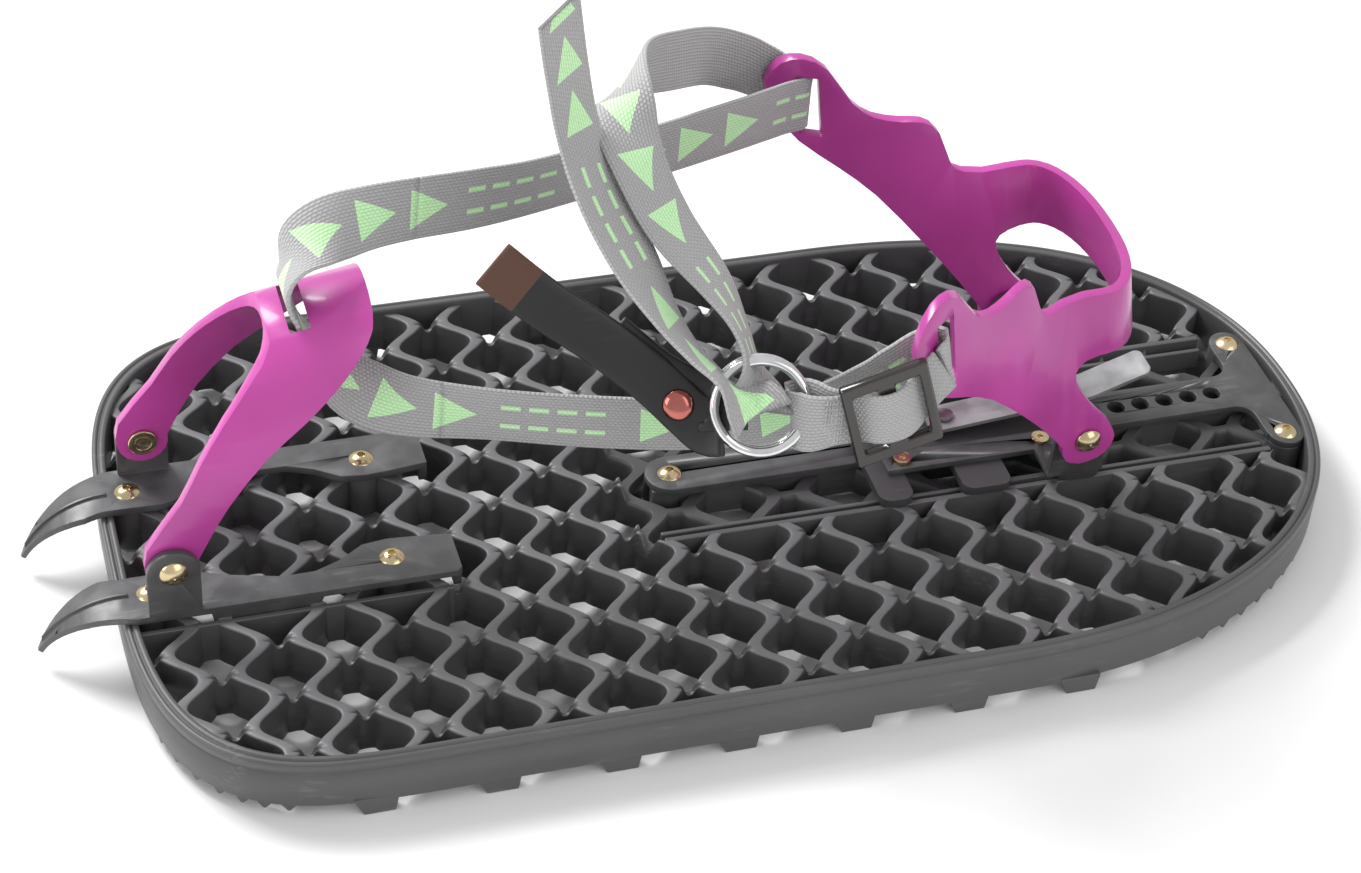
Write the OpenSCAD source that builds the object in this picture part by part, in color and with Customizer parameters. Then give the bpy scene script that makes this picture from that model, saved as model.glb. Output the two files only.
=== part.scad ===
// Snowshoe: a honeycomb deck with two crampon claws, a hinged toe loop, a heel
// cup on a size slider, and a webbing strap with a double-ring buckle.
// Millimetres. The toe points to -X and the heel to +X; the ground is z = 0.

/* [Deck] */
// Length of the deck, toe to heel
deck_len = 400; // [330:5:480]
// Width of the deck
deck_w = 210; // [175:5:255]
// Height of the rim wall
rim_h = 17; // [15:0.5:21]
// Width of the rim's top band
rim_w = 4.2; // [3.4:0.2:5.2]
// How far the cleats reach below the rim
cleat_h = 5; // [4:0.5:6]
// Depth of the rib tops below the rim top
rib_drop = 2; // [1.5:0.1:2.5]
// Length of the rounded toe end
toe_reach = 85; // [70:5:100]
// Length of the rounded heel end
heel_reach = 142; // [120:2:160]

/* [Honeycomb] */
// Spacing of the wavy ribs, toe to heel
cell_len = 19.15; // [17:0.05:23]
// Spacing of the cells across the deck
cell_w = 23.4; // [20:0.1:28]
// Width of a wavy rib
rib_w = 3; // [2.5:0.1:3.6]
// Width of a cross rib
cross_w = 2.2; // [1.8:0.1:2.6]
// Swing of a wavy rib to each side
rib_wave = 3.2; // [2.6:0.1:3.8]

/* [Claws] */
// Thickness of the claw bars
bar_t = 2.5; // [2:0.1:3]
// Distance from the middle to a bar's outer edge
bar_out = 34.4; // [30:0.2:40]
// Length of a claw bar on the deck
bar_len = 104; // [90:1:120]
// How far the claws reach past the toe
claw_reach = 25; // [20:1:30]
// Radius of the claws' downward curve
claw_r = 29; // [28:0.5:36]

/* [Toe loop] */
// Height of the toe loop's pivot above the rim
toe_pivot_h = 18.5; // [16:0.5:22]
// Distance of the toe loop's pivot from the toe
toe_pivot_in = 16; // [14:0.5:20]
// Thickness of the toe loop
loop_t = 3.4; // [3:0.1:4]
// Height of the toe loop's crown above its pivot
loop_rise = 60; // [50:1:72]
// Width of the arms at the pivot
loop_w = 16; // [14:0.5:18]
// Width of the crown
crown_w = 30; // [25:0.5:36]

/* [Heel] */
// Distance of the heel pivot from the heel end
heel_pivot_in = 92.5; // [84:0.5:100]
// Height of the heel pivot above the rim
heel_pivot_h = 19.5; // [17:0.5:23]
// Distance from the middle to the cup's outer face at the pivot
cup_out = 36.5; // [34:0.5:40]
// Thickness of the heel cup
cup_t = 3.2; // [2.8:0.1:3.8]
// Spacing of the size holes
size_step = 8.75; // [7.5:0.25:10.5]
// Number of size holes
size_holes = 8; // [6:1:9]
// Radius of the size holes
size_hole_r = 3; // [2.6:0.1:3.4]
// Width of the rail plate's tongue
tongue_w = 16.5; // [14:0.5:20]
// Thickness of the rail plate
tongue_t = 2.5; // [2:0.1:3]

/* [Straps and fasteners] */
// Width of the webbing
web_w = 20; // [16:0.5:22]
// Thickness of the webbing
web_t = 1.6; // [1.2:0.1:2]
// Radius of the screws' shanks
screw_r = 2; // [1.6:0.1:2.4]
// Radius of the screws' heads
head_r = 4; // [3.4:0.1:4.6]
// Radius of the pivot rivets
rivet_r = 2.5; // [2:0.1:3]
// Radial clearance of a pivot
pivot_gap = 0.05; // [0.02:0.01:0.1]
// Radius of the buckle rings, to the wire's middle
ring_r = 13.5; // [12.5:0.5:16]
// Radius of the buckle rings' wire
wire_r = 1.6; // [1.3:0.1:2]

/* [Hidden] */
$fn = 48;

// Heights above the ground
deck_z = cleat_h;
rim_z = deck_z + rim_h;
rib_z = rim_z - rib_drop;
channel_z = rib_z - 5;
bar_z = rim_z + 0.2;
plate_z = rib_z - 2;
slide_gap = 0.1;

// Places along the deck
toe_x = -deck_len / 2;
heel_x = deck_len / 2;
frame_shift = claw_reach / 2;
toe_n = 3.5;
heel_n = 2.24;

// Claw bars
bar_mid = bar_out - 10.7;
bar_front_screw = toe_x + 9.5;
bar_back_screw = toe_x + 84;
tab_t = 2.5;
tab_in = bar_out - tab_t;
toe_pivot = [toe_x + toe_pivot_in, rim_z + toe_pivot_h];

// Rail plate and slider
plate_front = heel_x - 228;
front_screw = plate_front + 8;
plate_arm = heel_x - 19;
arm_screw_x = heel_x - 12.5;
arm_screw_y = 24;
last_hole = heel_x - 29;
wall_y = 30;
rail_y = 25.6;
heel_pivot = [heel_x - heel_pivot_in, rim_z + heel_pivot_h];
slider_z = plate_z + tongue_t + slide_gap;
slider_t = 3;
slider_x0 = heel_pivot[0] - 66;
slider_x1 = heel_pivot[0] + 18;
bracket_z = slider_z + slider_t;
bracket_t = 2;
lug_in = cup_out - cup_t - 3.1;
leg_mid = 15.75;
lug_r = 8.6;
pin_hole = 6;
pin_x = last_hole - pin_hole * size_step;
pin_r = size_hole_r - 0.5;
lever_t = 1.4;
lever_w = 12;
lever_z = bracket_z + bracket_t + 0.4;
lever_x0 = slider_x0 + 26;
lever_hinge = lever_x0 + 6;
lever_lift = 5.5;
lever_play = 0.4;

// Outline of the deck, moved in by a margin
function power(v, n) = sign(v) * pow(abs(v), 2 / n);
function end_curve(x0, reach, n, a0, margin) =
    [for (a = [a0:6:a0 + 180])
        [x0 + power(cos(a), n) * (reach - margin), power(sin(a), n) * (deck_w / 2 - margin)]];
function deck_outline(margin) = concat(
    end_curve(heel_x - heel_reach, heel_reach, heel_n, -90, margin),
    end_curve(toe_x + toe_reach, toe_reach, toe_n, 90, margin));

// Smooth curves
function unit(v) = v / norm(v);
function spline(p, t) = let(n = len(p) - 1, i = min(floor(t), n - 1), u = t - i,
    a = p[max(i - 1, 0)], b = p[i], c = p[i + 1], d = p[min(i + 2, n)])
    0.5 * (2 * b + (c - a) * u + (2 * a - 5 * b + 4 * c - d) * u * u
        + (3 * b - a - 3 * c + d) * u * u * u);

module at_frame() {
    translate([frame_shift, 0, 0]) children();
}

// Both sides of the object: the child and its mirror image
module both_sides() {
    children();
    mirror([0, 1, 0]) children();
}

// A profile drawn in the X-Z plane, from y0 to y1
module side_extrude(y0, y1) {
    translate([0, y1, 0]) rotate([90, 0, 0]) linear_extrude(y1 - y0) children();
}

// ---------------------------------------------------------------- Deck

// One side of a cell: v runs from -180 to 180 degrees over its length
function cell_side(v) = cell_len / 2 + rib_wave * cos(v) - rib_w / 2 - 1.4 * pow(abs(v) / 180, 6);
cell_turns = [-180, -145, -80, 0, 80, 145, 180];
cell_shape = concat(
    [for (v = cell_turns) [cell_side(v), v / 360 * (cell_w - cross_w)]],
    [for (v = cell_turns) [-cell_side(v), -v / 360 * (cell_w - cross_w)]]);
rib_phase = 7.3;
columns = ceil(deck_len / cell_len / 2) + 1;
rows = ceil(deck_w / cell_w / 2) + 1;
function column_x(k) = rib_phase + cell_len * (k - 0.5);
cells = [for (k = [-columns:columns], m = [-rows:rows])
    [column_x(k), cell_w * (m + (k % 2 == 0 ? 0.5 : 0))]];

// How many of a cell's corners lie inside the deck's outline, moved in by a margin
function inside(p, margin) = let(heel = p[0] > 0, reach = heel ? heel_reach : toe_reach,
    x = max(0, abs(p[0]) - deck_len / 2 + reach), n = heel ? heel_n : toe_n)
    pow(x / (reach - margin), n) + pow(abs(p[1]) / (deck_w / 2 - margin), n) < 1;
function corners_inside(c) = len([for (p = cell_shape) if (inside(c + p, rim_w)) 1]);
whole_cells = [for (c = cells) if (corners_inside(c) == len(cell_shape)) c];
edge_cells = [for (c = cells) let(n = corners_inside(c)) if (n > 0 && n < len(cell_shape)) c];

function loops(list, first) = let(n = len(cell_shape))
    [for (i = [0:len(list) - 1]) [for (j = [0:n - 1]) first + i * n + j]];

// Plan of the ribs: a sheet with every cell open
module rib_plan() {
    edge = deck_outline(rim_w - 0.4);
    difference() {
        polygon(concat(edge, [for (c = whole_cells, p = cell_shape) c + p]),
            concat([[for (i = [0:len(edge) - 1]) i]], loops(whole_cells, len(edge))));
        polygon([for (c = edge_cells, p = cell_shape) c + p], loops(edge_cells, 0));
    }
}

module honeycomb() {
    saddle_r = cell_len / 2 - rib_wave - rib_w / 2 + 0.3;
    difference() {
        translate([0, 0, deck_z]) linear_extrude(rib_z - deck_z) rib_plan();
        for (k = [-columns:columns])
            translate([column_x(k), 0, rib_z + 1]) rotate([90, 0, 0])
                cylinder(r = saddle_r, h = deck_w, center = true);
        translate([plate_front - 8, -wall_y, channel_z])
            cube([plate_arm - plate_front + 16, 2 * wall_y, rim_h]);
    }
}

module rim() {
    translate([0, 0, deck_z]) linear_extrude(rim_h) difference() {
        polygon(deck_outline(0));
        polygon(deck_outline(rim_w));
    }
}

// Wedge cleats along the straight sides and saw teeth round both ends
module cleats() {
    first = toe_x + 55;
    step = 36.8;
    count = floor((deck_len - 175) / step);
    both_sides() for (i = [0:count])
        side_extrude(deck_w / 2 - 4.4, deck_w / 2 - 0.2)
            polygon([[first + i * step + 0.5, deck_z + 0.5], [first + i * step + 3.5, 0],
                [first + i * step + 13, 0], [first + i * step + 14, deck_z + 0.5]]);
}

module teeth(x0, reach, n, turns) {
    for (a = turns) {
        p = [x0 + power(cos(a), n) * (reach - 2.2), power(sin(a), n) * (deck_w / 2 - 2.2)];
        q = [x0 + power(cos(a + 1), n) * (reach - 2.2), power(sin(a + 1), n) * (deck_w / 2 - 2.2)];
        d = unit(q - p);
        translate([p[0], p[1], 0]) rotate([0, 0, atan2(d[1], d[0])])
            side_extrude(-1.8, 1.8)
                polygon([[-3.6, deck_z + 0.4], [0, deck_z - 2.8], [3.6, deck_z + 0.4]]);
    }
}

module deck_bosses() {
    both_sides() {
        for (x = [bar_front_screw, bar_back_screw])
            translate([x, bar_mid, deck_z]) cylinder(r = 6, h = bar_z - deck_z);
        translate([arm_screw_x, arm_screw_y, deck_z]) cylinder(r = 6.2, h = plate_z - deck_z);
        translate([toe_x + 3, bar_out + 0.6, deck_z]) cube([bar_len - 4, 1.8, rib_z - deck_z]);
        translate([plate_front - 2, wall_y - 1, deck_z])
            cube([plate_arm - plate_front, 2, rib_z - deck_z]);
        translate([plate_front - 2, rail_y - 1, channel_z - 3])
            cube([plate_arm - plate_front - 1, 1.6, rib_z - channel_z + 1.5]);
    }
    translate([plate_front + 1, -5, deck_z]) cube([heel_x - plate_front - 4, 10, plate_z - deck_z]);
    translate([front_screw, 0, deck_z]) cylinder(r = 6, h = plate_z - deck_z);
}

module deck_holes() {
    both_sides() {
        for (x = [bar_front_screw, bar_back_screw])
            translate([x, bar_mid, deck_z - 1]) cylinder(r = screw_r + 0.1, h = rim_h + 3);
        translate([arm_screw_x, arm_screw_y, deck_z - 1]) cylinder(r = screw_r + 0.1, h = rim_h);
        // Room for the bars' side fangs and folded rear ends
        translate([toe_x + 25, tab_in - 0.2, -1]) cube([38, tab_t + 0.5, rim_z + 2]);
        translate([toe_x + bar_len - bar_t - 0.4, bar_out - 17.3, bar_z - 5.5])
            cube([bar_t + 0.8, 16, rim_h]);
    }
    translate([front_screw, 0, deck_z - 1]) cylinder(r = screw_r + 0.1, h = rim_h);
    for (i = [0:size_holes - 1])
        translate([last_hole - i * size_step, 0, deck_z + 5])
            cylinder(r = size_hole_r + 0.3, h = rim_h);
}

module plate_seat() {
    translate([heel_x - 27, -31, plate_z]) cube([21.4, 62, rim_h]);
}

module deck() {
    color([0.30, 0.30, 0.31]) difference() {
        union() {
            difference() {
                union() {
                    honeycomb();
                    rim();
                }
                plate_seat();
            }
            cleats();
            teeth(toe_x + toe_reach, toe_reach, toe_n, [112, 118, 124, 131, 139, 147, 154]);
            teeth(toe_x + toe_reach, toe_reach, toe_n, [206, 213, 221, 229, 236, 242, 248]);
            teeth(heel_x - heel_reach, heel_reach, heel_n, [for (i = [0:10]) 20 + i * 4.2]);
            teeth(heel_x - heel_reach, heel_reach, heel_n, [for (i = [0:10]) -20 - i * 4.2]);
            deck_bosses();
        }
        deck_holes();
        translate([0, 0, rim_z - 0.8]) linear_extrude(2) difference() {
            polygon(deck_outline(1.3));
            polygon(deck_outline(2.2));
        }
    }
}

// ---------------------------------------------------------------- Claw bars

// Plan of a bar, from the claw's tip to the folded rear end
function claw_half(u) = (bar_out - bar_mid) * (1 - pow(u, 1.7)) * 0.8 + 0.6;
module bar_plan() {
    x0 = toe_x;
    x1 = toe_x + bar_len;
    tip_steps = [1, 0.9, 0.75, 0.6, 0.4, 0.2];
    polygon(concat(
        [for (u = tip_steps) [x0 - claw_reach * u, bar_mid - 2.2 * u - claw_half(u)]],
        [[x0 + 1, bar_out - 18.6], [x0 + 20, bar_out - 18.8], [x0 + 34, bar_out - 13.5],
            [x0 + 50, bar_out - 9.2], [x0 + 60, bar_out - 9.4], [x0 + 68, bar_out - 12.6],
            [x0 + 76, bar_out - 18], [x0 + 84, bar_out - 19], [x0 + 92, bar_out - 18.4],
            [x1, bar_out - 17], [x1, bar_out - 1.5], [x1 - 1.5, bar_out], [x0 + 4, bar_out]],
        [for (i = [5:-1:0]) let(u = tip_steps[i])
            [x0 - claw_reach * u, bar_mid - 2.2 * u + claw_half(u)]]));
}

// Side view of a bar: flat on the deck, then an arc down to the tip
module bar_profile(thick, lift) {
    turn = asin(min(0.95, (claw_reach + 2) / claw_r));
    cx = toe_x + 2;
    top = bar_z + bar_t + lift;
    polygon(concat([[toe_x + bar_len, top], [cx, top]],
        [for (i = [1:12]) let(a = turn * i / 12, r = claw_r + lift)
            [cx - r * sin(a), bar_z + bar_t - claw_r + r * cos(a)]],
        [for (i = [12:-1:1]) let(a = turn * i / 12, r = claw_r + lift - thick * (1 - 0.45 * i / 12))
            [cx - r * sin(a), bar_z + bar_t - claw_r + r * cos(a)]],
        [[cx, top - thick], [toe_x + bar_len, top - thick]]));
}

module claw_bar() {
    difference() {
        union() {
            intersection() {
                translate([0, 0, -20]) linear_extrude(80) bar_plan();
                side_extrude(0, bar_out + 5) bar_profile(bar_t, 0);
            }
            // Stiffening ridge along the claw
            intersection() {
                translate([0, 0, -20]) linear_extrude(80)
                    polygon([[toe_x + 3, bar_mid - 0.8], [toe_x + 3, bar_mid + 0.4],
                        [toe_x - claw_reach * 0.5, bar_mid - 0.3],
                        [toe_x - claw_reach + 1.5, bar_mid - 2],
                        [toe_x - claw_reach + 1.5, bar_mid - 2.5],
                        [toe_x - claw_reach * 0.5, bar_mid - 1.7]]);
                side_extrude(0, bar_out + 5) bar_profile(bar_t, 0.9);
            }
            // Ear that carries the toe loop's pivot
            side_extrude(tab_in, bar_out)
                polygon(concat([[toe_pivot[0] + loop_w / 2, bar_z]],
                    [for (a = [0:12:180]) toe_pivot + loop_w / 2 * [cos(a), sin(a)]],
                    [[toe_pivot[0] - loop_w / 2, bar_z]]));
            // Side fang, folded down through the deck
            side_extrude(tab_in + 0.3, bar_out)
                polygon([[toe_x + 26, bar_z + bar_t], [toe_x + 28, bar_z - 7], [toe_x + 44, bar_z - 13],
                    [toe_x + 50, 1], [toe_x + 56, bar_z - 9], [toe_x + 60, bar_z - 2],
                    [toe_x + 62, bar_z + bar_t]]);
            // Rear end, folded down between the ribs
            translate([toe_x + bar_len - bar_t, bar_out - 16.8, bar_z - 5])
                cube([bar_t, 15, 5 + bar_t]);
        }
        side_extrude(tab_in - 5, bar_out + 5) translate(toe_pivot) circle(r = rivet_r);
        for (x = [bar_front_screw, bar_back_screw])
            translate([x, bar_mid, bar_z - 1]) cylinder(r = screw_r + 0.1, h = bar_t + 3);
    }
}

module claw_bar_left() {
    color([0.40, 0.40, 0.42]) mirror([0, 1, 0]) claw_bar();
}

module claw_bar_right() {
    color([0.40, 0.40, 0.42]) claw_bar();
}

// ---------------------------------------------------------------- Fasteners

// Button-head screw with a hexagon socket; z = 0 is under its head
module button_screw(len, r = head_r) {
    difference() {
        union() {
            translate([0, 0, -len]) cylinder(r = screw_r, h = len);
            rotate_extrude() intersection() {
                translate([0, -r * 0.9]) circle(r = r * 1.35);
                square([r, r]);
            }
        }
        translate([0, 0, r * 0.12]) cylinder(r = r * 0.34, h = r, $fn = 6);
    }
}

// Domed flanged nut under the deck's webs; z = 0 is its upper face
module flange_nut() {
    difference() {
        translate([0, 0, -3]) cylinder(r = screw_r + 1.8, h = 3, $fn = 6);
        translate([0, 0, -4]) cylinder(r = screw_r, h = 5);
    }
}

module claw_screws() {
    color([0.80, 0.68, 0.45]) both_sides() for (x = [bar_front_screw, bar_back_screw])
        translate([x, bar_mid, bar_z + bar_t]) button_screw(bar_z + bar_t - deck_z + 3);
}

module claw_nuts() {
    color([0.60, 0.60, 0.62]) both_sides() for (x = [bar_front_screw, bar_back_screw])
        translate([x, bar_mid, deck_z]) flange_nut();
}

module rail_screws() {
    color([0.80, 0.68, 0.45]) {
        translate([front_screw, 0, plate_z + tongue_t])
            button_screw(plate_z + tongue_t - deck_z + 3);
        both_sides() translate([arm_screw_x, arm_screw_y, plate_z + tongue_t])
            button_screw(plate_z + tongue_t - deck_z + 3);
    }
}

module rail_nuts() {
    color([0.60, 0.60, 0.62]) {
        translate([front_screw, 0, deck_z]) flange_nut();
        both_sides() translate([arm_screw_x, arm_screw_y, deck_z]) flange_nut();
    }
}

// Pivot rivet along Y with a domed head on its outer end
module pivot_rivet(y0, y1) {
    rotate([-90, 0, 0]) translate([0, 0, y0]) cylinder(r = rivet_r, h = y1 - y0);
    translate([0, y1, 0]) rotate([-90, 0, 0]) rotate_extrude() intersection() {
        translate([0, -3.2]) circle(r = 5.4);
        square([4.4, 4]);
    }
}

// ---------------------------------------------------------------- Toe loop

loop_out = tab_in - 0.3;
loop_tilt = 11;
loop_n = 2.35;
slot_along = 56;
crown_slot = toe_pivot
    + [slot_along * cos(loop_tilt) - loop_rise * sin(loop_tilt),
        slot_along * sin(loop_tilt) + loop_rise * cos(loop_tilt)];
eyelet_t = 1.2;

// Side view of the loop about its pivot, before the tilt: front edge up, rear edge
// down. The crown starts 2 mm past its highest front point.
crown_front = slot_along - 8.5;
loop_side = [[-loop_w / 2, 0], [-5.5, 0.15], [8, 0.36], [17, 0.54], [27, 0.70], [38, 0.84],
    [crown_front - 1, 0.95], [crown_front, 1.1], [crown_front + 15, 1.15],
    [crown_front + crown_w, 1.1], [crown_front + crown_w, 0.95], [crown_front + crown_w - 4, 0.86],
    [64, 0.74], [50, 0.60], [36, 0.475], [21.5, 0.275], [13, 0.11], [loop_w / 2, 0]];
loop_points = [for (p = loop_side) [p[0], p[1] * loop_rise]];

module loop_arch(half, rise) {
    polygon(concat([[half, -12]],
        [for (a = [0:6:180]) [half * power(cos(a), loop_n), rise * power(sin(a), loop_n)]],
        [[-half, -12]]));
}

module toe_loop() {
    color([0.78, 0.29, 0.62]) difference() {
        intersection() {
            translate([toe_pivot[0], 0, toe_pivot[1]]) rotate([0, -loop_tilt, 0])
                rotate([90, 0, 90]) linear_extrude(240, center = true) difference() {
                    loop_arch(loop_out, loop_rise);
                    translate([0, -0.01]) loop_arch(loop_out - loop_t, loop_rise - loop_t);
                }
            side_extrude(-bar_out - 5, bar_out + 5) translate(toe_pivot) rotate(loop_tilt)
                polygon(concat([for (t = [0:0.5:len(loop_points) - 1]) spline(loop_points, t)],
                    [for (a = [-20:-20:-160]) loop_w / 2 * [cos(a), sin(a)]]));
        }
        rotate([90, 0, 0]) translate([toe_pivot[0], toe_pivot[1], 0])
            cylinder(r = rivet_r + pivot_gap, h = 2 * bar_out, center = true);
        // Webbing slot through the crown
        translate([toe_pivot[0], 0, toe_pivot[1]]) rotate([0, -loop_tilt, 0])
            translate([slot_along - 3.2, -web_w / 2 - 1.6, loop_rise - 15])
                cube([6.4, web_w + 3.2, 30]);
    }
}
module toe_rivets() {
    color([0.80, 0.68, 0.45]) both_sides() translate([toe_pivot[0], 0, toe_pivot[1]])
        pivot_rivet(loop_out - loop_t - eyelet_t - 0.1, bar_out);
}

// Flanged collars that hold the rivets on the loop's inner side
module toe_eyelets() {
    color([0.80, 0.68, 0.45]) both_sides() translate([toe_pivot[0], 0, toe_pivot[1]])
        rotate([-90, 0, 0]) translate([0, 0, loop_out - loop_t - eyelet_t - 0.1]) difference() {
            cylinder(r = 4.6, h = eyelet_t);
            translate([0, 0, -1]) cylinder(r = rivet_r, h = eyelet_t + 2);
        }
}

// ---------------------------------------------------------------- Rail plate

module rail_plate() {
    arm_r = 6.2;
    fillet = 6;
    color([0.36, 0.36, 0.38]) difference() {
        translate([0, 0, plate_z]) linear_extrude(tongue_t) difference() {
            union() {
                translate([plate_front + tongue_w / 2, 0]) circle(r = tongue_w / 2);
                translate([plate_front + tongue_w / 2, -tongue_w / 2])
                    square([plate_arm - plate_front, tongue_w]);
                translate([plate_arm, -arm_screw_y]) square([12.5, 2 * arm_screw_y]);
                for (s = [-1, 1]) translate([arm_screw_x, s * arm_screw_y]) circle(r = arm_r);
                for (s = [-1, 1]) translate([plate_arm - fillet, s * tongue_w / 2 - (s < 0 ? fillet : 0)])
                    square([fillet + 1, fillet]);
            }
            for (s = [-1, 1])
                translate([plate_arm - fillet, s * (tongue_w / 2 + fillet)]) circle(r = fillet);
        }
        for (i = [0:size_holes - 1])
            translate([last_hole - i * size_step, 0, plate_z - 1])
                cylinder(r = size_hole_r, h = tongue_t + 2);
        translate([front_screw, 0, plate_z - 1]) cylinder(r = screw_r + 0.1, h = tongue_t + 2);
        both_sides() translate([arm_screw_x, arm_screw_y, plate_z - 1])
            cylinder(r = screw_r + 0.1, h = tongue_t + 2);
    }
}

// ---------------------------------------------------------------- Heel slider

foot_out = wall_y + 2;
module slider_plan() {
    r = 4;
    translate([slider_x0, -14]) square([slider_x1 - slider_x0, 28]);
    for (x = [[0, 11.5], [28.5, 45], [61, 76]])
        for (s = [-1, 1]) {
            translate([slider_x0 + x[0], min(0, s * (foot_out - r))])
                square([x[1] - x[0], foot_out - r]);
            translate([slider_x0 + x[0] + r, s * (foot_out - r)]) circle(r = r);
            translate([slider_x0 + x[1] - r, s * (foot_out - r)]) circle(r = r);
            translate([slider_x0 + x[0] + r, min(s * (foot_out - r), s * foot_out)])
                square([x[1] - x[0] - 2 * r, r]);
        }
}

module heel_carriage() {
    hook_in = 5 + 0.6;
    hook_out = tongue_w / 2 + slide_gap;
    hook_t = 1.8;
    color([0.22, 0.22, 0.23]) difference() {
        union() {
            translate([0, 0, slider_z]) linear_extrude(slider_t) slider_plan();
            // Hooks that run under the rail plate's edges
            for (s = [-1, 1], x = [slider_x0 + 2, slider_x0 + 58]) {
                translate([x, s > 0 ? hook_out : -hook_out - 2.4, plate_z - slide_gap - hook_t])
                    cube([20, 2.4, slider_z - plate_z + slide_gap + hook_t + 0.5]);
                translate([x, s > 0 ? hook_in : -hook_out - 0.5, plate_z - slide_gap - hook_t])
                    cube([20, hook_out - hook_in + 0.5, hook_t]);
            }
            // Pad that carries the size lever
            translate([lever_hinge, 0, slider_z]) cylinder(r = 3, h = lever_z - lever_play - slider_z);
            // Keels that run in the grooves between rail and wall
            for (s = [-1, 1]) translate([slider_x0 + 29, s * (rail_y + 2.1) - 1, rib_z - 3.5])
                cube([46, 2, slider_z - rib_z + 4]);
        }
        translate([pin_x, 0, slider_z - 1]) cylinder(r = pin_r + 1.6, h = slider_t + 2);
        both_sides() for (x = [slider_x0 + 12, heel_pivot[0] - 6])
            translate([x, leg_mid, slider_z - 0.5]) cylinder(r = screw_r * 0.8, h = slider_t + 2);
        translate([lever_hinge, 0, slider_z - 0.5]) cylinder(r = 1.6, h = lever_z - slider_z + 1);
    }
}

module heel_bracket() {
    x0 = slider_x0 + 6;
    x1 = heel_pivot[0] + 12;
    color([0.58, 0.58, 0.60]) difference() {
        union() {
            translate([0, 0, bracket_z]) linear_extrude(bracket_t) difference() {
                union() {
                    translate([x0, -20]) square([x1 - x0, 40]);
                    translate([heel_pivot[0] - 9.5, -lug_in - 2]) square([19, 2 * lug_in + 4]);
                }
                translate([x0 + 11 + 6, -11.5]) square([x1, 23]);
                translate([x0 + 11 + 6, -5.5]) circle(r = 6);
                translate([x0 + 11 + 6, 5.5]) circle(r = 6);
                translate([x0 + 11, -5.5]) square([8, 11]);
            }
            both_sides() side_extrude(lug_in, lug_in + 2)
                polygon(concat([[heel_pivot[0] + 9.5, bracket_z]],
                    [for (a = [0:12:180]) heel_pivot + lug_r * [cos(a), sin(a)]],
                    [[heel_pivot[0] - 9.5, bracket_z]]));
        }
        both_sides() {
            for (x = [slider_x0 + 12, heel_pivot[0] - 6])
                translate([x, leg_mid, bracket_z - 1]) cylinder(r = screw_r * 0.8, h = 5);
            side_extrude(lug_in - 1, lug_in + 4) translate(heel_pivot) circle(r = rivet_r);
        }
    }
}

module bracket_screws() {
    len = bracket_t + slider_t;
    color([0.80, 0.68, 0.45]) both_sides() for (x = [slider_x0 + 12, heel_pivot[0] - 6])
        translate([x, leg_mid, bracket_z + bracket_t]) difference() {
            union() {
                translate([0, 0, -len]) cylinder(r = screw_r * 0.8, h = len);
                cylinder(r = 2.9, h = 1.3);
            }
            translate([0, 0, 0.5]) cylinder(r = 1.1, h = 2, $fn = 6);
        }
}

// ---------------------------------------------------------------- Size lever

// The lever is shown lifted, with its pin just clear of the rail plate
module lifted() {
    translate([lever_hinge, 0, lever_z]) rotate([0, -lever_lift, 0])
        translate([-lever_hinge, 0, -lever_z]) children();
}

tab_x = heel_pivot[0] + 37;
module size_lever() {
    color([0.66, 0.66, 0.68]) lifted() difference() {
        intersection() {
            side_extrude(-lever_w / 2, lever_w / 2)
                polygon([[lever_x0, lever_z], [pin_x + 5, lever_z], [tab_x, lever_z + 5.5],
                    [tab_x, lever_z + 5.5 + lever_t], [pin_x + 4.7, lever_z + lever_t],
                    [lever_x0, lever_z + lever_t]]);
            translate([0, 0, lever_z - 20]) linear_extrude(60) {
                translate([lever_x0, -lever_w / 2]) square([tab_x - lever_x0 - 2.5, lever_w]);
                translate([tab_x - 4, 2.5 - lever_w / 2]) square([4, lever_w - 5]);
                for (s = [-1, 1]) translate([tab_x - 2.5, s * (lever_w / 2 - 2.5)]) circle(r = 2.5);
            }
        }
        translate([pin_x, 0, lever_z - 1]) cylinder(r = pin_r * 0.6, h = lever_t + 2);
        translate([lever_hinge, 0, lever_z - 1]) cylinder(r = 1.6 + lever_play, h = lever_t + 2);
    }
}

// Locking pin: a bevelled peg with a riveted neck in the lever
module lock_pin() {
    grip = lever_z - plate_z + 0.8;
    color([0.75, 0.75, 0.77]) lifted() translate([pin_x, 0, lever_z]) {
        translate([0, 0, -grip + 1.2]) cylinder(r = pin_r, h = grip - 1.2);
        translate([0, 0, -grip]) cylinder(r1 = pin_r - 1.2, r2 = pin_r, h = 1.2);
        cylinder(r = pin_r * 0.6, h = lever_t);
        translate([0, 0, lever_t]) cylinder(r = pin_r, h = 0.8);
    }
}

module lever_rivet() {
    top = lever_z + lever_t + lever_play;
    color([0.80, 0.68, 0.45]) translate([lever_hinge, 0, 0]) {
        translate([0, 0, slider_z]) cylinder(r = 1.6, h = top - slider_z);
        translate([0, 0, top]) cylinder(r = 3, h = 1);
    }
}

// ---------------------------------------------------------------- Heel cup

cup_tilt = 10;
cup_mid_z = rim_z + 60;
cup_x0 = heel_pivot[0] - 2;
cup_back = 17.5;
cup_n = 2.3;
cup_ear = 82;
cup_flat = 8;
cup_flare = 0.66;

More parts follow.
